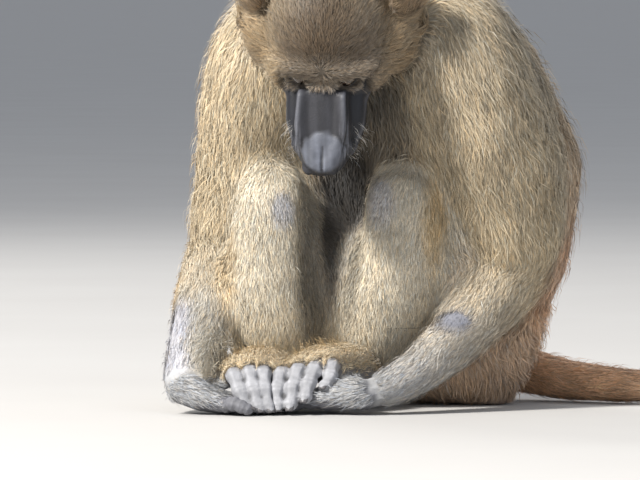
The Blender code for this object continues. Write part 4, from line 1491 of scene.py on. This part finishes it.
    def build(self) -> None:
        """Melts the head's skin, shapes the face and grows the coat."""
        skin = melted("skin_head", HEAD_NODES, self.voxel, self.smoothing, COLLAR, Nape())
        rough = Hide(skin)
        f = self.local(rough.points)[:, 1]
        back = rough.on(("head",)) * (1 - soft(f, -104, -84))
        rough.ease(1 - rough.on(HEAD_NODES) + back, self.lock_easing)
        hide = Hide(evened(skin, self.voxel, 2))
        hide.bury(1 - hide.on(HEAD_NODES), self.under_neck)
        hide.blend_fields(self.blending)
        hide.sink()
        hide.mark()
        self.shape_coat(hide)
        self.shape_lids(hide)
        self.shape_face(hide)
        bare = bare_finish("face_skin", roughness=(0.40, 0.62), crease=0.22)
        hide.dress(bare, self.under_shade)
        reported(skin, "skin", *HEAD_NODES)
        surface = Surface(hide)
        hair = coat_finish("head_coat")
        for coat in HEAD_COATS:
            reported(coat.build(surface, hair), "coat")
        self.grow_whiskers(hide, surface, hair)

    def grow_whiskers(self, hide: Hide, surface: Surface, hair: bpy.types.Material) -> None:
        """Grows a few pale whiskers along the sides of the muzzle and the chin.

        Args:
            hide: The head's skin.
            surface: The same skin in triangles.
            hair: The material.
        """
        x, f, d = self.local(hide.points).T
        place = between(np.abs(x), 24, 42, 3) * between(f, 36, 74, 6) * between(d, -60, -22, 5)
        hide.cover = place * hide.on(("muzzle",))
        hide.length = np.full(len(x), self.whisker_length)
        hide.fluff = np.ones(len(x))
        outward = np.stack([np.sign(x), np.full(len(x), self.whisker_lean), np.zeros(len(x))], 1)
        hide.lie = unit(outward @ np.array(self.matrix())[:3, :3].T)
        hide.colour = np.tile(np.array(self.whisker), (len(x), 1))
        reported(WHISKERS.build(surface, hair), "coat")


def eye_place(side: str) -> Vector:
    """The middle of an eye's solid."""
    low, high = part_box("eye_" + side)
    return (Vector(low) + Vector(high)) / 2


@dataclass
class Eye:
    """One eyeball with its iris, pupil and the bulge of its cornea.

    Sizes are in millimetres. Pupil, iris and cornea end at their angles from the gaze, in degrees.
    """

    side: str
    radius: float = 10.0
    bulge: float = 0.9
    pupil_edge: float = 13
    iris_edge: float = 32
    cornea_edge: float = 38
    gaze: Place = (0.0, 0.92, 0.39)
    iris: Colour = (0.045, 0.022, 0.009)
    white: Colour = (0.028, 0.019, 0.014)
    pupil: Colour = (0.004, 0.003, 0.003)

    def build(self, finish: bpy.types.Material) -> None:
        """Makes the eye in place of its solid.

        Args:
            finish: The material.
        """
        centre = eye_place(self.side)
        bpy.ops.mesh.primitive_uv_sphere_add(segments=48, ring_count=32, radius=self.radius * MM)
        ball = bpy.context.object
        ball.name = "eyeball_" + self.side
        gaze = (Head().matrix().to_3x3() @ Vector(self.gaze)).normalized()
        turn = gaze.to_track_quat("Z", "Y").to_matrix()
        colours = []
        for vertex in ball.data.vertices:
            angle = math.degrees(vertex.co.angle(Vector((0, 0, 1))))
            if angle < self.cornea_edge:
                rise = max(0.0, math.cos(math.radians(angle) * 90 / self.cornea_edge))
                vertex.co += vertex.co.normalized() * (self.bulge * MM * rise)
            vertex.co = centre + turn @ vertex.co
            colours.append(self.colour_at(angle))
        store(ball.data, np.array(colours))
        ball.data.uv_layers.active.name = BAKE_UV
        ball.data.materials.append(finish)
        only(ball)
        bpy.ops.object.shade_smooth()
        reported(ball, "eye", "eye_" + self.side)

    def colour_at(self, angle: float) -> Colour:
        """The colour at an angle from the gaze.

        Args:
            angle: The angle in degrees.

        Returns:
            The colour of the pupil, the iris or the white.
        """
        if angle < self.pupil_edge:
            return self.pupil
        return self.iris if angle < self.iris_edge else self.white


def eye_finish() -> bpy.types.Material:
    """A wet brown eye with a streaked iris.

    Returns:
        The material.
    """
    finish = Finish("eye", roughness=0.08, specular=0.6)
    finish.mottle(scale=900.0, low=0.6, high=1.4, detail=4.0)
    finish.shader.inputs["Coat Weight"].default_value = 0.6
    finish.shader.inputs["Coat Roughness"].default_value = 0.03
    return finish.material


@dataclass(frozen=True)
class Nail:
    """A thin plate bent round the tip of a digit, with a rounded free edge.

    Forward and up are how far it lies from the digit's end, and half_wide and half_long its
    size, as shares of the digit's radius. Thick is in millimetres.
    """

    forward: float = 0.35
    up: float = 0.72
    half_wide: float = 0.56
    half_long: float = 0.55
    curl: float = 1.1
    rounding: float = 0.45
    dip: float = 0.5
    thick: float = 0.8
    colour: Colour = (0.10, 0.095, 0.10)

    def build(self, line: tuple[Place, ...], radius: float) -> bpy.types.Object:
        """Makes the nail on the upper side of a digit's end.

        Args:
            line: The digit's line, up to its tip.
            radius: Its radius in millimetres.

        Returns:
            The nail.
        """
        tip, before = Vector(line[-1]), Vector(line[-2])
        forward = (tip - before).normalized()
        side = forward.cross(Vector((0, 0, 1)))
        side = side.normalized() if side.length > UPRIGHT else Vector((1, 0, 0))
        up = side.cross(forward).normalized()
        centre = metres(tuple(tip + forward * (radius * self.forward) + up * (radius * self.up)))
        bpy.ops.mesh.primitive_grid_add(x_subdivisions=8, y_subdivisions=8, size=2)
        nail = bpy.context.object
        half_wide, half_long = radius * self.half_wide, radius * self.half_long
        for vertex in nail.data.vertices:
            u, v = vertex.co.x, vertex.co.y
            free = max(v, 0) ** 2
            narrowing = math.sqrt(max(0.0, 1 - self.rounding * free))
            across = side * (math.sin(u) * half_wide / math.sin(1.0) * narrowing)
            drop = up * ((math.cos(u) - 1) * half_wide * self.curl - self.dip * free)
            vertex.co = centre + (forward * (v * half_long) + across + drop) * MM
        if nail.data.polygons[0].normal.dot(up) < 0:
            nail.data.flip_normals()
        nail.data.uv_layers.active.name = BAKE_UV
        return applied(nail, "SOLIDIFY", thickness=self.thick * MM, offset=-1.0)


@dataclass
class Paw:
    """One hand or foot: its skin with knuckles and creases, its nails and its thin hair."""

    node: str
    stub: Stub
    tufts: int
    under_limb: float = 3.0
    folding: float = 0.3
    voxel: float = 1.35
    smoothing: int = 5
    under_shade: float = 0.8
    nail: Nail = Nail()
    # Painted shade in the skin's creases and painted highlights on its rises.
    skin_wear: CreviceShading = CreviceShading(0.8, 0.4, (0.02, 0.35), (0.05, 0.35))
    # Heights and widths of the digits' forms, in millimetres.
    knuckle_height: float = 0.9
    knuckle_reach: float = 4.5
    waist_depth: float = 0.8
    fold_width: float = 2.9
    most: float = 1.4
    toe_hair: float = 4.0
    toe_fluff: float = 1.3

    def shape_digits(self, hide: Hide) -> None:
        """Swells the knuckles, pinches the joints between them and folds their skin.

        Args:
            hide: The paw's skin.
        """
        points = drawn(hide.points)
        heights = np.zeros(len(points))
        for line, radius in DIGITS[self.node]:
            places = np.array(line, float)
            before = 0.0
            for a, b in zip(places[:-1], places[1:]):
                span = b - a
                size = np.linalg.norm(span)
                t = (points - a) @ span / size**2
                away = np.linalg.norm(points - (a + np.clip(t, 0, 1)[:, None] * span), axis=1)
                near = (1 - soft(away, radius * 1.25, radius * 1.7)) * (t >= 0) * (t < 1)
                knuckle = bell(t * size, 0, self.knuckle_reach) + bell(t * size, size, self.knuckle_reach)
                waist = bell(t, 0.5, 0.2)
                folds = soft(np.cos((before + t * size) * math.tau / self.fold_width), 0.2, 0.9)
                swelling = self.knuckle_height * knuckle - self.waist_depth * waist
                heights += near * (swelling - self.folding * folds * knuckle)
                before += size
        hide.raise_by(hide.spread(np.clip(heights, -self.most, self.most), 3))
        # Painted shade in the creases of the digits and painted highlights on their rises.
        hide.wear(self.skin_wear)

    def build_nails(self, finish: bpy.types.Material) -> None:
        """Sets a curved nail on the upper side of every digit's tip, all as one piece.

        Args:
            finish: The material.
        """
        nails = [self.nail.build(line, radius) for line, radius in DIGITS[self.node]]
        piece = joined(nails, "nails_" + self.node)
        piece.data.materials.append(finish)
        store(piece.data, np.tile(np.array(self.nail.colour), (len(piece.data.vertices), 1)))
        bpy.ops.object.shade_smooth()
        reported(piece, "skin")

    def build(self, skin_finish: bpy.types.Material, nail_finish: bpy.types.Material) -> None:
        """Melts the paw's skin, shapes it and adds the nails and hair.

        Args:
            skin_finish: The skin's material.
            nail_finish: The nails' material.
        """
        skin = melted("skin_" + self.node, (self.node,), self.voxel, self.smoothing, self.stub)
        hide = Hide(skin)
        hide.bury(hide.on((self.stub.node,)), self.under_limb)
        hide.blend(depth=6, cover=8, colour=10, lie=8)
        hide.sink()
        self.shape_digits(hide)
        hide.mark()
        hide.dress(skin_finish, self.under_shade)
        reported(skin, "skin", self.node)
        self.build_nails(nail_finish)
        self.grow_hair(hide)

    def grow_hair(self, hide: Hide) -> None:
        """Grows thin hair: on a hand over its back, on a foot down to the roots of the toes.

        Args:
            hide: The paw's skin.
        """
        facing = hide.normals()[:, 2]
        y = drawn(hide.points)[:, 1]
        if "hand" in self.node:
            hide.cover = hide.cover * soft(facing, -0.6, 0.2)
            colour = HAND_FUR
        else:
            hide.cover = soft(y, -13, 2) * soft(facing, -0.4, 0.3)
            colour = FOOT_FUR
            hide.length += self.toe_hair
            hide.fluff = np.full(len(y), self.toe_fluff)
        hide.colour = np.tile(np.array(colour), (len(y), 1))
        seed = len(self.node)
        hair = Coat("coat_" + self.node, (self.node,), "coat", self.tufts, PAW_CUT, seed)
        reported(hair.build(Surface(hide), coat_finish("paw_hair_" + self.node)), "coat")


PAWS = (
    Paw("hand_left", Stub("forearm_left", (72, -16, 31), (-26, -12, -10)), tufts=6500,
        under_limb=1.2, folding=0.04),
    Paw("hand_right", Stub("forearm_right", (-124, 24, 45), (-3, -20, -15)), tufts=6500,
        under_limb=1.0, folding=0.04),
    Paw("foot_left", Stub("shank_left", (54, 92, 84), (0, 0, -1)), tufts=11000),
    Paw("foot_right", Stub("shank_right", (-45, 96, 84), (0, 0, -1)), tufts=11000),
)


@dataclass(frozen=True)
class Lamp:
    """A soft light, with its place and size in metres and its power in watts."""

    name: str
    place: Place
    power: float
    size: float
    colour: Colour

    def build(self, aim: Vector) -> None:
        """Makes the light.

        Args:
            aim: The place that it faces.
        """
        data = bpy.data.lights.new(self.name, "AREA")
        data.energy = self.power
        data.size = self.size
        data.color = self.colour
        lamp = linked(self.name, data)
        lamp.location = self.place
        lamp.rotation_euler = (aim - Vector(self.place)).to_track_quat("-Z", "Y").to_euler()


LAMPS = (
    Lamp("key", (-3.8, -3.2, 4.4), 810.0, 1.0, (1.0, 0.96, 0.90)),
    Lamp("fill", (3.5, -4.5, 2.2), 45.0, 3.0, (0.92, 0.95, 1.0)),
    Lamp("rim", (-2.0, 3.5, 3.0), 90.0, 2.0, (1.0, 0.97, 0.92)),
)


@dataclass
class Setting:
    """Camera, light and floor.

    The camera looks at a drawn place in millimetres from a height in degrees and a distance in
    metres. The floor's size and how far the camera sees are in metres, too.
    """

    aim: Place = (0, 0, 165)
    elevation: float = 2.0
    distance: float = 7.0
    lens: float = 414.0
    sensor: float = 36.0
    sight: float = 2000.0
    floor_size: float = 900.0
    sky_strength: float = 0.55
    sky: Colour = (0.86, 0.91, 1.0)
    floor_dark: Colour = (0.44, 0.43, 0.42)
    floor_light: Colour = (0.48, 0.475, 0.465)

    def build(self) -> None:
        """Makes the camera, the lights, the sky and the floor."""
        scene = bpy.context.scene
        scene.view_settings.view_transform = "Standard"
        data = bpy.data.cameras.new("camera")
        camera = linked("camera", data)
        tilt = math.radians(self.elevation)
        away = Vector((0, -math.cos(tilt), math.sin(tilt)))
        camera.location = metres(self.aim) + away * self.distance
        camera.rotation_euler = (-away).to_track_quat("-Z", "Y").to_euler()
        data.lens = self.lens
        data.sensor_width = self.sensor
        data.clip_end = self.sight
        scene.camera = camera
        for lamp in LAMPS:
            lamp.build(metres(self.aim))
        world = bpy.data.worlds.new("air")
        scene.world = world
        world.use_nodes = True
        sky = world.node_tree.nodes["Background"]
        sky.inputs["Color"].default_value = (*self.sky, 1)
        sky.inputs["Strength"].default_value = self.sky_strength
        bpy.ops.mesh.primitive_plane_add(size=self.floor_size)
        floor = bpy.context.object
        floor.name = "floor"
        finish = Finish("floor", roughness=0.9)
        tone = finish.node("ShaderNodeMix", data_type="RGBA")
        finish.join(finish.noise(scale=3.0), tone.inputs["Factor"])
        tone.inputs["A"].default_value = (*self.floor_dark, 1)
        tone.inputs["B"].default_value = (*self.floor_light, 1)
        finish.join(tone.outputs["Result"], finish.shader.inputs["Base Color"])
        floor.data.materials.append(finish.material)


def main() -> None:
    """Builds the animal and its setting."""
    logging.basicConfig(level=logging.INFO)
    Setting().build()
    Trunk().build()
    Head().build()
    wet = eye_finish()
    for side in SIDES:
        Eye(side).build(wet)
    paw_skin = bare_finish("paw_skin", roughness=(0.45, 0.7), crease=0.35)
    nail = bare_finish("nail", roughness=(0.25, 0.4), crease=0.04)
    for paw in PAWS:
        paw.build(paw_skin, nail)


if __name__ == "__main__":
    main()
